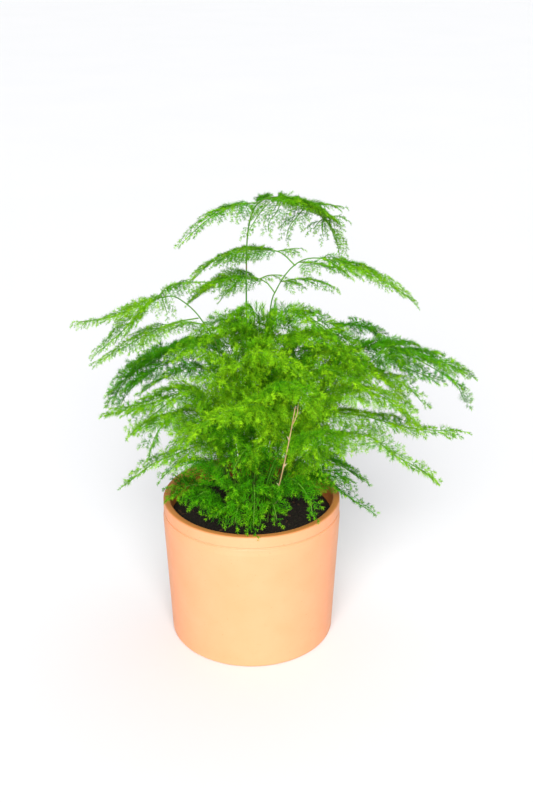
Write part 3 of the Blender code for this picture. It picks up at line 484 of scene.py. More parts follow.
# Each frond has how young its shoots are, from 0 to 1, and its axes.
FRONDS = {
    "frond_tall": (0.4, [
        Axis([(-3, 4), (-3, 5, 180), (-3, 5, 250), (-3, 5, 299), (-1, 6, 334), (8, 14, 351), (31, 37, 347),
              (55, 60, 328), (66, 68, 308), (70, 71, 294)], 5, 38),
        Axis([(6, 12, 350), (-10, -1, 351), (-29, -13, 344), (-48, -23, 329)], 0, 30),
        Axis([(36, 43, 344), (54, 52, 340), (71, 58, 336)], 0, 18),
        Axis([(14, 18, 349), (8, 6, 345), (2, -4, 338), (-4, -13, 330)], 0, 14),
        Axis([(23, 28, 348), (19, 18, 341), (14, 8, 337), (13, 0, 330)], 0, 16),
        Axis([(42, 47, 340), (35, 36, 334), (29, 29, 328), (26, 22, 319)], 0, 22),
        Axis([(56, 60, 327), (51, 54, 324), (47, 48, 320)], 0, 16),
        Axis([(57, 61, 327), (68, 62, 328), (74, 62, 324)], 0, 14),
        Axis([(56, 60, 327), (55, 57, 320), (56, 54, 312)], 0, 14)]),
    "frond_high_right": (0.45, [
        Axis([(5, 3), (9, 8, 170), (14, 8, 263), (20, 8, 287), (33, 4, 306), (49, 0, 312), (75, -5, 307),
              (98, -9, 297), (120, -12, 282)], 5, 38),
        Axis([(33, 4, 305), (20, 11, 314), (-4, 17, 313), (-28, 19, 304), (-45, 18, 288)], 1, 36),
        Axis([(18, 8, 283), (10, 12, 291), (-8, 16, 294), (-28, 19, 286), (-45, 20, 272)], 1, 44),
        Axis([(-8, 16, 294), (-13, 14, 286), (-21, 12, 278)], 0, 16),
        Axis([(23, 7, 292), (36, -2, 297), (50, -9, 297), (63, -15, 293)], 0, 22),
        Axis([(36, 3, 308), (47, -6, 310), (58, -12, 309), (71, -18, 307)], 0, 22),
        Axis([(20, 11, 314), (28, 6, 317), (36, 2, 319)], 0, 14),
        Axis([(6, 13, 292), (14, 10, 296), (25, 7, 297)], 0, 12)]),
    "frond_high_left": (0.6, [
        Axis([(-9, -2), (-13, -6, 170), (-23, -9, 240), (-36, -12, 269), (-49, -15, 284), (-60, -16, 288),
              (-81, -18, 281), (-100, -20, 274), (-115, -21, 271), (-127, -20, 270)], 5, 32),
        Axis([(-66, -17, 288), (-61, -16, 294), (-53, -14, 297), (-42, -11, 297), (-30, -7, 296)], 0, 26),
        Axis([(-74, -17, 284), (-86, -25, 271), (-100, -31, 259), (-113, -34, 249)], 0, 28),
        Axis([(-38, -12, 270), (-55, -19, 269), (-72, -26, 264), (-91, -33, 255), (-112, -37, 244)], 1, 32),
        Axis([(-34, -12, 265), (-44, -18, 269), (-54, -23, 270), (-63, -28, 267)], 0, 24),
        Axis([(-64, -16, 288), (-62, -20, 283), (-59, -23, 275)], 0, 16)]),
    "frond_back_left": (0.0, [
        Axis([(-13, 12), (-18, 28, 160), (-25, 42, 210), (-41, 56, 224), (-61, 65, 217), (-83, 70, 206),
              (-99, 70, 193), (-111, 70, 179), (-117, 69, 166)], 2, 52),
        Axis([(-47, 58, 220), (-63, 57, 211), (-77, 57, 204), (-91, 57, 193), (-102, 57, 182),
              (-109, 57, 170)], 1, 40)]),
    "frond_left": (0.5, [
        Axis([(-17, -3), (-24, -7, 165), (-35, -12, 209), (-50, -16, 213), (-70, -17, 206), (-91, -14, 198),
              (-110, -10, 192)], 1, 54),
        Axis([(-53, -16, 212), (-68, -24, 202), (-78, -28, 194), (-88, -30, 186)], 1, 30)]),
    "frond_left_hang": (0.5, [
        Axis([(-18, -9), (-24, -15, 160), (-37, -26, 192), (-53, -35, 203), (-70, -43, 201),
              (-89, -48, 191)], 1, 40),
        Axis([(-60, -38, 202), (-65, -46, 198), (-70, -50, 190), (-73, -52, 180)], 0, 30)]),
    "frond_left_low": (0.65, [
        Axis([(-13, -13), (-19, -26, 155), (-30, -38, 180), (-49, -45, 178), (-73, -50, 169),
              (-93, -52, 153)], 2, 32)]),
    "frond_right": (0.2, [
        Axis([(15, 4), (27, 8, 160), (46, 12, 208), (70, 16, 231), (98, 19, 237), (128, 21, 231),
              (149, 20, 223), (170, 19, 213)], 2, 56),
        Axis([(96, 19, 237), (113, 12, 226), (130, 8, 218), (149, 6, 213)], 0, 36),
        Axis([(112, 19, 234), (135, 10, 225), (156, 5, 212), (166, 3, 195)], 1, 24)]),
    "frond_right_inner": (0.6, [
        Axis([(19, 0), (33, 1, 165), (52, 4, 210), (72, 7, 225), (93, 9, 218), (109, 7, 206),
              (120, 2, 192)], 1, 54),
        Axis([(93, 9, 218), (108, 3, 217), (122, -2, 209), (133, -6, 197)], 0, 26)]),
    "frond_right_mid": (0.65, [
        Axis([(15, -6), (27, -10, 155), (45, -13, 189), (64, -16, 196), (88, -19, 194), (112, -20, 187),
              (138, -17, 182), (163, -12, 179)], 1, 38)]),
    "frond_right_low": (0.65, [
        Axis([(11, -14), (28, -19, 145), (47, -29, 174), (65, -37, 188), (87, -43, 189), (106, -48, 176),
              (121, -50, 168), (131, -52, 162), (138, -53, 153)], 1, 38)]),
    "frond_back_right_low": (0.0, [
        Axis([(13, 13), (25, 21, 124), (39, 29, 135), (57, 37, 134), (75, 44, 121), (95, 50, 103)], 1, 38)]),
    "frond_back_right_rim": (0.0, [
        Axis([(20, 7), (29, 5, 119), (41, 3, 131), (53, 0, 134), (65, -2, 128), (81, -3, 114),
              (98, -3, 103)], 1, 30)]),
    "frond_back": (0.0, [
        Axis([(3, 15), (13, 24, 180), (26, 32, 224), (44, 45, 234), (60, 57, 233), (75, 66, 237),
              (89, 74, 234), (101, 81, 224), (111, 86, 209)], 1, 46)]),
    "frond_back_far_left": (0.05, [
        Axis([(-6, 16), (-12, 36, 175), (-16, 54, 211), (-26, 74, 221), (-41, 90, 215),
              (-53, 98, 204)], 2, 44)]),
    "frond_back_mid": (0.05, [
        Axis([(4, 21), (8, 36, 150), (14, 54, 188), (22, 74, 196), (30, 92, 184), (36, 106, 160)], 1, 44)]),
    "frond_back_left_low": (0.0, [
        Axis([(-14, 17), (-25, 32, 140), (-42, 48, 166), (-60, 64, 162), (-74, 78, 140)], 1, 38)]),
    "frond_back_left_inner": (0.1, [
        Axis([(-12, 4), (-16, 9, 160), (-23, 15, 198), (-30, 20, 213), (-43, 25, 217), (-59, 29, 211),
              (-75, 31, 202), (-89, 32, 191)], 1, 42)]),
    "frond_back_right_inner": (0.1, [
        Axis([(9, 9), (13, 13, 160), (18, 17, 206), (28, 20, 227), (42, 24, 232), (58, 27, 230),
              (74, 29, 221), (87, 30, 209)], 2, 42)]),
    "frond_crown_back": (0.3, [
        Axis([(-1, 11), (3, 14, 180), (8, 17, 228), (4, 16, 247), (-6, 14, 255), (-18, 13, 252),
              (-30, 12, 242)], 2, 48)]),
    "frond_crown_front": (0.5, [
        Axis([(-5, -7), (-8, -8, 160), (-9, -10, 215), (-6, -13, 243), (3, -15, 255), (15, -14, 257),
              (28, -14, 251)], 2, 46)]),
    "frond_crown_left": (0.4, [
        Axis([(-6, 1), (-7, 2, 180), (-6, 1, 236), (-6, -2, 260), (-12, -8, 269), (-24, -17, 265),
              (-41, -26, 255), (-56, -33, 245)], 1, 50)]),
    "frond_crown_right": (0.35, [
        Axis([(9, -1), (10, -4, 180), (11, -4, 242), (14, -5, 264), (24, -11, 275), (41, -20, 274),
              (60, -31, 264), (78, -41, 246)], 1, 52)]),
    "frond_centre": (0.75, [
        Axis([(-2, -4), (-4, -12, 170), (-6, -24, 226), (-1, -36, 249), (11, -48, 256), (26, -60, 253),
              (40, -70, 243)], 1, 46)]),
    "frond_crown_mid": (0.5, [
        Axis([(6, -6), (8, -8, 170), (11, -13, 238), (21, -21, 258), (39, -29, 264), (57, -37, 258),
              (72, -44, 245)], 1, 50)]),
    "frond_right_front": (0.75, [
        Axis([(17, -11), (26, -15, 150), (38, -20, 196), (54, -26, 217), (76, -31, 222), (97, -35, 217),
              (113, -38, 204), (121, -39, 194)], 1, 54)]),
    "frond_crown_top": (0.3, [
        Axis([(1, 0), (2, -1, 170), (3, -3, 238), (3, -8, 267), (1, -16, 280), (-3, -27, 280),
              (-6, -38, 271)], 2, 48)]),
    "frond_mid_left": (0.55, [
        Axis([(-12, -7), (-13, -11, 160), (-14, -19, 222), (-20, -29, 244), (-31, -40, 255),
              (-43, -49, 259)], 1, 48)]),
    "frond_inner_left": (0.55, [
        Axis([(-8, -11), (-9, -15, 150), (-10, -24, 205), (-15, -33, 226), (-26, -44, 237),
              (-40, -54, 240)], 1, 44)]),
    "frond_inner_right": (0.45, [
        Axis([(12, 3), (15, -1, 160), (23, -6, 216), (37, -12, 240), (54, -18, 248), (73, -25, 243),
              (89, -31, 230)], 1, 52)]),
    "frond_mid_right": (0.6, [
        Axis([(12, -8), (20, -14, 160), (31, -22, 218), (50, -34, 238), (70, -44, 237),
              (89, -52, 223)], 1, 52)]),
    "frond_front": (0.45, [
        Axis([(3, -9), (5, -20, 165), (9, -34, 213), (17, -51, 234), (29, -67, 241), (40, -82, 236),
              (47, -92, 224)], 1, 50)]),
    "frond_front_left": (0.75, [
        Axis([(3, -15), (9, -25, 155), (16, -38, 196), (14, -50, 216), (-2, -62, 222), (-21, -71, 219),
              (-38, -78, 210), (-52, -80, 195)], 1, 42)]),
    "frond_front_far_left": (0.3, [
        Axis([(-3, -14), (-6, -26, 155), (-14, -42, 192), (-28, -57, 204), (-43, -68, 201),
              (-55, -77, 190)], 1, 44)]),
    "frond_front_right": (0.45, [
        Axis([(8, -16), (17, -30, 154), (32, -44, 187), (46, -56, 199), (58, -65, 198),
              (66, -72, 189)], 2, 46)]),
    "frond_front_hang": (0.55, [
        Axis([(7, -21), (13, -32, 148), (24, -43, 182), (36, -53, 195), (45, -62, 195), (50, -70, 185),
              (52, -76, 171)], 2, 32)]),
    "frond_low_left": (0.1, [
        Axis([(-9, -19), (-14, -28, 133), (-23, -38, 159), (-38, -46, 173), (-53, -52, 171),
              (-65, -56, 161)], 1, 42)]),
    "frond_inner_low": (0.15, [
        Axis([(-1, -17), (2, -25, 140), (5, -35, 170), (2, -46, 183), (-6, -56, 181),
              (-14, -64, 168)], 1, 36)]),
    "frond_low_front": (0.1, [
        Axis([(0, -21), (1, -32, 133), (2, -44, 150), (3, -56, 147), (2, -65, 122)], 1, 38)]),
    "frond_low_right": (0.05, [
        Axis([(13, -22), (18, -32, 136), (28, -43, 154), (37, -52, 153), (44, -58, 143),
              (46, -62, 131)], 1, 34)]),
    "frond_rim_left": (0.05, [
        Axis([(-19, -14), (-26, -17, 121), (-38, -20, 136), (-51, -22, 136), (-61, -23, 125)], 1, 42)]),
    "frond_rim_front": (0.1, [
        Axis([(7, -27), (9, -33, 122), (13, -41, 132), (17, -50, 136), (20, -61, 126)], 1, 28)]),
    "frond_rim_right": (0.1, [
        Axis([(20, -7), (31, -8, 128), (46, -9, 143), (64, -9, 142), (79, -6, 128)], 1, 38)]),
    "frond_rim_back": (0.0, [
        Axis([(-3, 24), (-7, 35, 124), (-14, 50, 146), (-25, 66, 148), (-36, 80, 130)], 1, 32)]),
    "frond_rim_back_left": (0.0, [
        Axis([(-9, 22), (-18, 28, 118), (-28, 33, 127), (-39, 37, 129), (-51, 40, 123)], 1, 26)]),
    "frond_pot_left": (0.05, [
        Axis([(-14, -21), (-22, -27, 122), (-30, -33, 137), (-38, -38, 139), (-45, -42, 131)], 1, 36),
        Axis([(-30, -33, 137), (-33, -41, 135), (-34, -47, 129)], 0, 24)]),
    "frond_pot_front": (0.05, [
        Axis([(-4, -27), (-6, -35, 118), (-8, -44, 132), (-10, -53, 133), (-12, -61, 123)], 1, 34),
        Axis([(-8, -44, 132), (-16, -48, 134), (-23, -51, 131), (-27, -53, 124)], 0, 26)]),
}


def unit(vectors):
    return vectors / np.linalg.norm(vectors, axis=-1, keepdims=True)


class Growth:
    """The corners and triangles of a plant part as it grows, with each corner's youth and share of painted
    light, 0 to 1.
    """

    def __init__(self):
        self.corners = []
        self.triangles = []
        self.young = []
        self.light_share = []
        self.slots = []
        self.total = 0

    def add(self, corners, triangles, young, light_share, slot):
        self.corners.append(corners)
        self.triangles.append(triangles + self.total)
        self.young.append(np.broadcast_to(young, len(corners)))
        self.light_share.append(np.broadcast_to(light_share, len(corners)))
        self.slots.append(np.full(len(triangles), slot))
        self.total += len(corners)

    def mesh(self, name):
        numbers = {"young": np.concatenate(self.young), "light_share": np.concatenate(self.light_share)}
        corners = np.vstack(self.corners)
        return mesh_of(name, corners, np.vstack(self.triangles), True, numbers, np.concatenate(self.slots))


def distances(line):
    """How far along a line each of its points is."""
    return np.concatenate([[0], np.cumsum(np.linalg.norm(np.diff(line, axis=0), axis=1))])


def smooth_line(points):
    """Close points on a smooth (Catmull-Rom) curve through the points given, and how far along each is."""
    fine_steps = 16
    spread = np.vstack([2 * points[0] - points[1], points, 2 * points[-1] - points[-2]])
    fine = []
    for a, b, c, d in zip(spread, spread[1:], spread[2:], spread[3:]):
        for u in np.arange(fine_steps) / fine_steps:
            linear = (c - a) * u
            square = (2 * a - 5 * b + 4 * c - d) * u**2
            cube = (3 * b - a - 3 * c + d) * u**3
            fine.append(0.5 * (2 * b + linear + square + cube))
    fine.append(points[-1])
    fine = np.array(fine)
    return fine, distances(fine)


def read_line(line, along, places):
    """The points of a line at the given distances along it, and the directions there."""
    points = np.stack([np.interp(places, along, line[:, k]) for k in range(3)], axis=1)
    headings = np.gradient(line, along, axis=0)
    return points, unit(np.stack([np.interp(places, along, headings[:, k]) for k in range(3)], axis=1))


def axis_points(axis):
    """An axis's own points in metres. A stem's axis starts upright in its hole in the soil."""
    points = list(axis.points)
    if len(points[0]) == 2:
        x, y = points[0]
        points[0] = (x, y, STEM_UPRIGHT_TO / MM)
        return np.array([(x, y, STEM_FOOT / MM)] + points) * MM
    return np.array(points) * MM


def add_tube(growth, line, radii, sides, side_way, young, light_share, slot):
    """A closed tube along a line. Its sections stand square to the line, and it ends in a point."""
    headings = unit(np.gradient(line, axis=0))
    across = unit(side_way - (headings @ side_way)[:, None] * headings)
    over = np.cross(headings, across)
    turns = np.arange(sides) * 2 * math.pi / sides
    ring = np.cos(turns)[None, :, None] * across[:-1, None] + np.sin(turns)[None, :, None] * over[:-1, None]
    rings = line[:-1, None] + radii[:-1, None, None] * ring
    corners = np.vstack([rings.reshape(-1, 3), line[-1:]])
    k = np.arange(sides)
    after = (k + 1) % sides
    here = np.arange(len(line) - 2)[:, None] * sides
    first = np.stack([here + k, here + after, here + sides + after], axis=2).reshape(-1, 3)
    second = np.stack([here + k, here + sides + after, here + sides + k], axis=2).reshape(-1, 3)
    last = (len(line) - 2) * sides
    point = np.stack([last + k, last + after, np.full(sides, len(corners) - 1)], axis=1)
    cap = np.stack([np.zeros(sides - 2, int), k[2:], k[1:-1]], axis=1)
    if np.ndim(young):
        young = np.append(np.repeat(young[:-1], sides), young[-1])
    growth.add(corners, np.vstack([first, second, point, cap]), young, light_share, slot)


def add_spikes(growth, roots, ways, lengths, radii, slot):
    """Many closed three-sided spikes at once, each from its root along its own way."""
    count = len(roots)
    across = unit(np.cross(ways, ODD_WAY))
    over = np.cross(ways, across)
    corners = np.empty((count, 4, 3))
    for k in range(3):
        turn = 2 * math.pi * k / 3
        corners[:, k] = roots + radii[:, None] * (math.cos(turn) * across + math.sin(turn) * over)
    corners[:, 3] = roots + lengths[:, None] * ways
    sides = np.array([(0, 2, 1), (0, 1, 3), (1, 2, 3), (2, 0, 3)])
    triangles = (np.arange(count)[:, None, None] * 4 + sides).reshape(-1, 3)
    growth.add(corners.reshape(-1, 3), triangles, 0.5, 0.5, slot)


def add_needles(growth, points, headings, overs, reach, thickness, young, light_share, draw):
    """A cluster of needles round each point of a sprig, in pairs that share a root and lean forward like a V.
    Each needle has painted shade at its root and painted light at its tip, on top of its sprig's share of
    painted light."""
    count = len(points)
    way = np.cross(overs, headings)
    root_to_tip = np.array([0, 0, 0, 1, 1])
    faces = np.array([(0, 1, 3), (1, 2, 3), (2, 0, 3), (1, 0, 4), (2, 1, 4), (0, 2, 4)])
    triangles = (np.arange(count)[:, None, None] * 5 + faces).reshape(-1, 3)
    for turn in PAIR_TURNS:
        roll = math.radians(turn) + draw.normal(0, 0.3, count)[:, None]
        across = np.cos(roll) * way + np.sin(roll) * overs
        third = np.cross(across, headings)
        corners = np.empty((count, 5, 3))
        for k in range(3):
            a = 2 * math.pi * k / 3
            corners[:, k] = points + thickness * (math.cos(a) * headings + math.sin(a) * third)
        for k, side in ((3, 1), (4, -1)):
            lean = np.radians(draw.uniform(*NEEDLE_LEAN, count))[:, None]
            size = (reach * draw.uniform(*NEEDLE_LENGTHS, count))[:, None]
            corners[:, k] = points + size * (np.cos(lean) * headings + side * np.sin(lean) * across)
        # Painted shade at the needle's root and painted light at its tip, round its sprig's share of painted
        # light.
        shade = (light_share + draw.normal(0, 0.3, count))[:, None] - ROOT_SHADE
        shade = np.clip(shade + (ROOT_SHADE + TIP_LIGHT) * root_to_tip, 0, 1)
        fresh = (young + draw.normal(0, 0.06, count))[:, None] + TIP_YOUNGER * root_to_tip
        growth.add(corners.reshape(-1, 3), triangles, np.clip(fresh, 0, 1).ravel(), shade.ravel(), 0)


def add_sprigs(growth, roots, ways, overs, lengths, young, fineness, draw):
    """All of a frond's sprigs at once: a thin drooping twig each, with its clusters of needles."""
    count = len(roots)
    droop = np.array([0, 0, -SPRIG_DROOP])
    wander = SPRIG_WANDER * draw.normal(0, 1, (count, 3))
    middle = roots + SPRIG_BEND_AT * lengths[:, None] * ways
    tips = roots + lengths[:, None] * unit(ways + droop + wander)
    across = unit(np.cross(ways, overs))
    corners = np.empty((count, 7, 3))
    for k in range(3):
        turn = 2 * math.pi * k / 3
        ring = math.cos(turn) * across + math.sin(turn) * np.cross(ways, across)
        corners[:, k] = roots + SPRIG_RADIUS * ring
        corners[:, 3 + k] = middle + 0.75 * SPRIG_RADIUS * ring
    corners[:, 6] = tips
    faces = [(0, 2, 1)]
    for k in range(3):
        after = (k + 1) % 3
        faces += [(k, after, 3 + after), (k, 3 + after, 3 + k), (3 + k, 3 + after, 6)]
    triangles = (np.arange(count)[:, None, None] * 7 + np.array(faces)).reshape(-1, 3)
    growth.add(corners.reshape(-1, 3), triangles, np.repeat(young, 7), 0.45, 0)
    clusters = np.maximum(2, np.round(lengths / (CLUSTER_GAP * fineness**0.5))).astype(int)
    owner = np.repeat(np.arange(count), clusters)
    order = np.arange(len(owner)) - np.repeat(np.cumsum(clusters) - clusters, clusters)
    share = (order + draw.uniform(0.35, 0.75, len(owner))) / clusters[owner]
    bend = np.clip(2 * share, 0, 1)[:, None]
    beyond = np.clip(2 * share - 1, 0, 1)[:, None]
    points = roots[owner] + bend * (middle - roots)[owner] + beyond * (tips - middle)[owner]
    headings = unit(np.where(share[:, None] < 0.5, (middle - roots)[owner], (tips - middle)[owner]))
    reach = NEEDLE_LONGEST - (NEEDLE_LONGEST - NEEDLE_SHORTEST) * share**2
    reach = fineness * reach * np.clip(lengths[owner] / (7 * fineness * MM), 0.55, 1)
    new_growth = np.where(draw.random(count) < FRESH_SHARE, FRESH_GAIN * young, 0)
    needle_young = young[owner] + new_growth[owner] + 0.22 * share**2
    # Each sprig's share of painted light, drawn at random.
    light_share = draw.normal(*SPRIG_LIGHT_SHARE, count)[owner]
    thickness = NEEDLE_RADIUS * fineness**0.6
    add_needles(growth, points, headings, overs[owner], reach, thickness, needle_young, light_share, draw)


def branch_line(root, heading, side, angle, length, sag):
    """Points along a side branch: it leaves its axis at an angle, bends forward a little and droops."""
    across = unit(np.cross(heading, (0, 0, 1)))
    level = unit(heading * (1, 1, 0.35))
    u = np.linspace(0, 1, BRANCH_CORNERS)[:, None]
    turn = np.radians(angle - BRANCH_BEND * u)
    away = np.cos(turn) * level + np.sin(turn) * side * across
    return root + length * (u * away - np.array([0, 0, 1]) * sag * u * u)


def grow_branch(growth, root, way, number, length, passed, youth, tip_youth, fineness, draw):
    """One side branch. It gives the roots, ways, upward ways, lengths and youth of the sprigs on it."""
    length *= draw.uniform(*BRANCH_LENGTHS)
    side = 1 if number % 2 else -1
    sag = draw.uniform(*(HIGH_BRANCH_SAG if fineness < 1 else BRANCH_SAG))
    angle = BRANCH_ANGLE - (BRANCH_ANGLE - LEADER_ANGLE) * min(1, passed) + draw.normal(0, 5)
    branch = branch_line(root, way, side, angle, length, sag)
    along = distances(branch)
    reach = along[-1]
    young = youth * draw.uniform(0.5, 1.15) + tip_youth
    chord = branch[-1] - branch[0]
    over = unit(np.cross(way, chord))
    over = over * (1 if over[2] > 0 else -1)
    roll = draw.normal(0, BRANCH_ROLL)
    over = math.cos(roll) * over + math.sin(roll) * np.cross(unit(chord), over)
    taper = np.linspace(BRANCH_RADIUS, BRANCH_END_RADIUS, BRANCH_CORNERS) * min(1, 0.4 + length / (40 * MM))
    add_tube(growth, branch, taper, 3, over, young, 0.5, 0)
    marks = np.arange(FIRST_SPRIG, reach - 0.4 * MM, SPRIG_GAP * fineness)
    count = len(marks)
    starts, lines = read_line(branch, along, marks)
    shares = marks / reach
    sides = np.where(np.arange(count) % 2 == number % 2, 1.0, -1.0)
    aside = np.cross(over, lines)
    fan = np.radians(draw.normal(SPRIG_ANGLE, 7, count) - 10 * shares)
    headings = np.cos(fan)[:, None] * lines + (np.sin(fan) * sides)[:, None] * aside
    headings = unit(headings + over * draw.normal(0.02, 0.13, (count, 1)))
    sizes = fineness * np.minimum(SPRIG_SHARE * (reach - marks) + SPRIG_LEAST, SPRIG_MOST)
    sizes = sizes * np.clip(0.5 + marks / (9 * MM), 0.5, 1) * draw.uniform(*SPRIG_LENGTHS, count)
    end, end_way = read_line(branch, along, np.array([0.94 * reach]))
    overs = np.repeat(over[None], count + 1, 0)
    ages = np.append(young + 0.3 * shares**2, young + 0.35)
    return np.vstack([starts, end]), np.vstack([headings, end_way]), overs, np.append(sizes, END_SPRIG), ages


def grow_axis(growth, axis, radius, youth, fineness, draw):
    """One leafy axis: its stem, its side branches with every sprig on them, and its papery scales."""
    points = axis_points(axis)
    line, along = smooth_line(points)
    in_soil = len(axis.points[0]) == 2
    first_leaf = axis.bare + (1 if in_soil else 0)
    leafy_from = along[np.argmin(np.linalg.norm(line - points[first_leaf], axis=1))]
    tip = along[-1]
    leader_from = tip - min(0.4 * (tip - leafy_from), LEADER)
    stem, _ = read_line(line, along, np.linspace(0, tip - 1 * MM, max(12, int(tip / (4 * MM)))))
    arch = stem[-1] - stem[0]
    side_way = unit(np.array([arch[1], -arch[0], 0]) + 1e-9)
    share = np.linspace(0, 1, len(stem))
    thickness = radius + (STEM_END_RADIUS - radius) * share**1.3
    add_tube(growth, stem, thickness, 6, side_way, share if in_soil else 1, 0.5, 1)
    gap = BRANCH_GAP * fineness
    places = np.arange(leafy_from + 1 * MM, tip - 2 * MM, gap)
    places = places + draw.uniform(-0.25, 0.25, len(places)) * gap
    roots, ways = read_line(line, along, places)
    sprigs = []
    for number, (place, root, way) in enumerate(zip(places, roots, ways)):
        passed = (place - leafy_from) / (leader_from - leafy_from)
        if passed < 1:
            first = FIRST_BRANCH + (1 - FIRST_BRANCH) * min(1, passed / 0.25)
            length = axis.spread * MM * first * (1 - (1 - LAST_BRANCH) * passed)
        else:
            left = (tip - place) / (tip - leader_from)
            length = LAST_BRANCH * axis.spread * MM * left**0.7 + 3 * MM
        tip_youth = 0.25 * (place / tip) ** 4
        branch = grow_branch(growth, root, way, number, length, passed, youth, tip_youth, fineness, draw)
        sprigs.append(branch)
    add_sprigs(growth, *[np.concatenate(parts) for parts in zip(*sprigs)], fineness, draw)
    bare_scales = np.arange(FIRST_SCALE, leafy_from, SCALE_GAP) if in_soil else []
    scale_places = np.concatenate([bare_scales, places])
    scale_roots, scale_ways = read_line(line, along, scale_places)
    turned = np.where(np.arange(len(scale_places)) % 2, 1.0, -1.0)[:, None] * side_way
    sizes = SCALE_LENGTH * draw.uniform(0.6, 1.1, len(scale_places)) * (1 - 0.55 * scale_places / tip)
    scale_ways = unit(scale_ways + SCALE_LEAN * turned)
    add_spikes(growth, scale_roots, scale_ways, sizes, SCALE_WIDTH * sizes, 2)


def grown_number(tree, label):
    """One of the numbers that a plant's corners carry, in its material."""
    node = tree.nodes.new("ShaderNodeAttribute")
    node.attribute_name = label
    return node.outputs["Fac"]


def needle_material():
    """Green from the shaded to the lit copy by each needle's share of painted light, with broad patches of
    painted light, and yellower on young shoots.
    """
    material, tree, shader = new_material("fern_needles", 0.5)
    light_share = grown_number(tree, "light_share")
    young = ramp(tree, grown_number(tree, "young"), 0.3, 1.15)
    # Broad patches of painted light lift some needles towards the lit green.
    patches = ramp(tree, add_mottle(tree, 18, 2, 0.25), 0, 3)
    lit_and_shaded = mix_colours(tree, patches, mix_colours(tree, light_share, NEEDLE_SHADED, NEEDLE_LIT), NEEDLE_LIT)
    fresh = mix_colours(tree, young, lit_and_shaded, mix_colours(tree, light_share, YOUNG_SHADED, YOUNG_LIT))
    tree.links.new(fresh, shader.inputs["Base Color"])
    shader.inputs["Specular IOR Level"].default_value = 0.1
    add_bump(tree, shader, add_mottle(tree, 0.9, 2, 0.5), 0.2, 0.05 * MM)
    return material


def stem_material():
    """Brown at a stem's foot, green above it and lime towards its tip, with a few brown streaks."""
    material, tree, shader = new_material("wiry_stem", 0.45)
    risen = grown_number(tree, "young")
    aged = mix_colours(tree, ramp(tree, risen, 0.0, 0.35), STEM_BROWN, STEM_GREEN)
    fresh = mix_colours(tree, ramp(tree, risen, 0.45, 1.0), aged, STEM_LIME)
    streaked = mix_colours(tree, ramp(tree, add_mottle(tree, 6, 4, 0.4), 0.6, 0.85), fresh, STEM_BROWN)
    tree.links.new(streaked, shader.inputs["Base Color"])
    shader.inputs["Specular IOR Level"].default_value = 0.15
    add_bump(tree, shader, add_mottle(tree, 1.2, 3, 0.5), 0.3, 0.1 * MM)
    return material


def scale_material():
    material, tree, shader = new_material("papery_scales", 0.75)
    colour = mix_colours(tree, add_mottle(tree, 2, 3, 0.4), SCALE_CREAM, STEM_BROWN)
    tree.links.new(colour, shader.inputs["Base Color"])
    add_bump(tree, shader, add_mottle(tree, 0.6, 3, 0.5), 0.3, 0.05 * MM)
    return material


needles = needle_material()
wiry = stem_material()
papery = scale_material()
for number, (name, (youth, axes)) in enumerate(FRONDS.items()):
    growth = Growth()
    draw = np.random.default_rng(FIRST_SEED + number)
    for axis in axes:
        radius = STEM_RADIUS if axis is axes[0] else ARM_RADIUS
        grow_axis(growth, axis, radius, youth, FINE_FRONDS.get(name, 1), draw)
    frond = add_piece(name.replace("frond", "spray"), growth.mesh(name), needles, wiry, papery)
    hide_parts(name)

# The old stem. It is last year's shoot at the front, leafless, dry and straw-coloured, with curled papery
# scales at its joints and a thin twig near its top.
DRY_STEM = [(18, -24), (18, -32, 123), (20, -45, 143), (24, -58, 170), (28, -69, 198), (32, -77, 228)]
DRY_TWIG = [(30, -74, 212), (33, -75, 220), (34, -75, 229)]
DRY_JOINTS = [0.32, 0.47, 0.62, 0.8]
DRY_CORNERS = 70
DRY_RADIUS = 0.56 * MM
DRY_TAPER = 0.2 * MM
JOINT_SWELLING = 0.3 * MM
JOINT_SHARE = 0.012
TWIG_CORNERS = 12
TWIG_RADIUS = 0.4 * MM
TWIG_END_RADIUS = 0.25 * MM
BRACT_TURNS = [0, 65, -70]
BRACT_LENGTHS = [4.2, 3.2, 2.6]
BRACT_LEANS = [0.6, 0.9, 1.1]
BRACT_WIDTH = 0.26
BRACT_SEED = 77
DRY_STRAW = (0.62, 0.44, 0.20)
DRY_TAN = (0.38, 0.22, 0.09)


def dry_material():
    material, tree, shader = new_material("dry_straw", 0.68)
    colour = mix_colours(tree, add_mottle(tree, 7, 4, 0.28), DRY_STRAW, DRY_TAN)
    tree.links.new(colour, shader.inputs["Base Color"])
    add_bump(tree, shader, add_mottle(tree, 0.9, 4, 0.5), 0.5, 0.1 * MM)
    return material


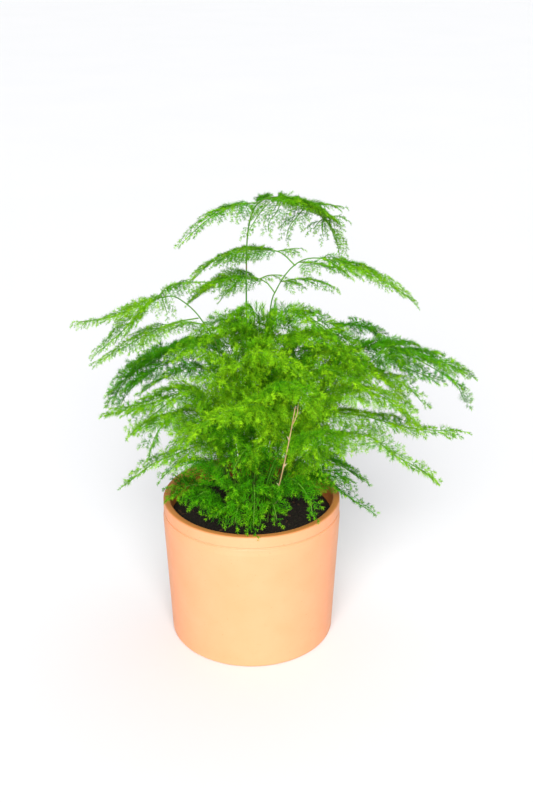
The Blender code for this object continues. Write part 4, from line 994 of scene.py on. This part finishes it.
def dry_stem_mesh():
    """The old stem with its swollen joints, its twig, and three papery bracts at each joint."""
    growth = Growth()
    x, y = DRY_STEM[0]
    points = [(x, y, STEM_FOOT / MM), (x, y, STEM_UPRIGHT_TO / MM)] + DRY_STEM[1:]
    line, along = smooth_line(np.array(points) * MM)
    stem, _ = read_line(line, along, np.linspace(0, along[-1], DRY_CORNERS))
    share = np.linspace(0, 1, DRY_CORNERS)
    swelling = sum(np.exp(-((share - joint) / JOINT_SHARE) ** 2) for joint in DRY_JOINTS)
    radii = DRY_RADIUS - DRY_TAPER * share + JOINT_SWELLING * swelling
    backward = np.array([0, 1.0, 0])
    add_tube(growth, stem, radii, 8, backward, share, 0.5, 0)
    twig_line, twig_along = smooth_line(np.array(DRY_TWIG) * MM)
    twig, _ = read_line(twig_line, twig_along, np.linspace(0, twig_along[-1], TWIG_CORNERS))
    twig[0] = stem[np.argmin(np.linalg.norm(stem - twig[0], axis=1))]
    slim = np.linspace(TWIG_RADIUS, TWIG_END_RADIUS, TWIG_CORNERS)
    add_tube(growth, twig, slim, 6, backward, 0.8, 0.5, 0)
    draw = np.random.default_rng(BRACT_SEED)
    for number, joint in enumerate(DRY_JOINTS):
        roots, ways = read_line(line, along, np.full(3, joint * along[-1]))
        turned = np.radians(np.array(BRACT_TURNS) + 180 * (number % 2))
        outward = np.stack([np.cos(turned), np.sin(turned), np.zeros(3)], axis=1)
        sizes = np.array(BRACT_LENGTHS) * MM * draw.uniform(0.85, 1.15, 3)
        ways = unit(ways + outward * np.array(BRACT_LEANS)[:, None])
        add_spikes(growth, roots, ways, sizes, BRACT_WIDTH * sizes, 1)
    return growth.mesh("old_stem")


old_stem = add_piece("old_stem", dry_stem_mesh(), dry_material(), papery)
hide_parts("dry_stem")

# The studio. A wide matt white floor, a broad soft light in front, a weaker one high at the back right, and
# pale air all round, with the camera above the plant's front as in the photograph.
FLOOR_HALF = 14.0
FLOOR_WHITE = (0.86, 0.86, 0.87)
FLOOR_SHADE = (0.84, 0.845, 0.855)
CAMERA_PLACE = (0.01185, -0.7868, 0.5335)
CAMERA_PITCH = 23.04
CAMERA_LENS = 50
CAMERA_SENSOR = 36
AIR_WHITE = (0.93, 0.96, 1.0)
AIR_STRENGTH = 0.15


def floor_material():
    material, tree, shader = new_material("floor_white", 0.7)
    colour = mix_colours(tree, add_mottle(tree, 400, 2, 0.3), FLOOR_WHITE, FLOOR_SHADE)
    tree.links.new(colour, shader.inputs["Base Color"])
    return material


def soft_sun(name, height, turn, softness, power):
    """A distant soft light. Its height, and its turn from the front to the right, are in degrees."""
    light = bpy.data.lights.new(name, "SUN")
    light.angle = math.radians(softness)
    light.energy = power
    lamp = bpy.data.objects.new(name, light)
    bpy.context.scene.collection.objects.link(lamp)
    lamp.rotation_euler = (math.radians(90 - height), 0, math.radians(turn))


floor_mesh = bpy.data.meshes.new("floor")
sheet = bmesh.new()
bmesh.ops.create_grid(sheet, x_segments=2, y_segments=2, size=FLOOR_HALF)
sheet.to_mesh(floor_mesh)
sheet.free()
floor_mesh.materials.append(floor_material())
floor = bpy.data.objects.new("floor", floor_mesh)
bpy.context.scene.collection.objects.link(floor)

camera = bpy.data.objects.new("camera", bpy.data.cameras.new("camera"))
camera.data.lens = CAMERA_LENS
camera.data.sensor_width = CAMERA_SENSOR
camera.location = CAMERA_PLACE
camera.rotation_euler = (math.radians(90 - CAMERA_PITCH), 0, 0)
bpy.context.scene.collection.objects.link(camera)
bpy.context.scene.camera = camera

soft_sun("front_light", height=31, turn=-2, softness=45, power=4.6)
soft_sun("top_light", height=72, turn=150, softness=60, power=1.1)
air = bpy.data.worlds.new("air")
air.use_nodes = True
air.node_tree.nodes["Background"].inputs["Color"].default_value = (*AIR_WHITE, 1)
air.node_tree.nodes["Background"].inputs["Strength"].default_value = AIR_STRENGTH
bpy.context.scene.world = air
bpy.context.scene.view_settings.view_transform = "Standard"
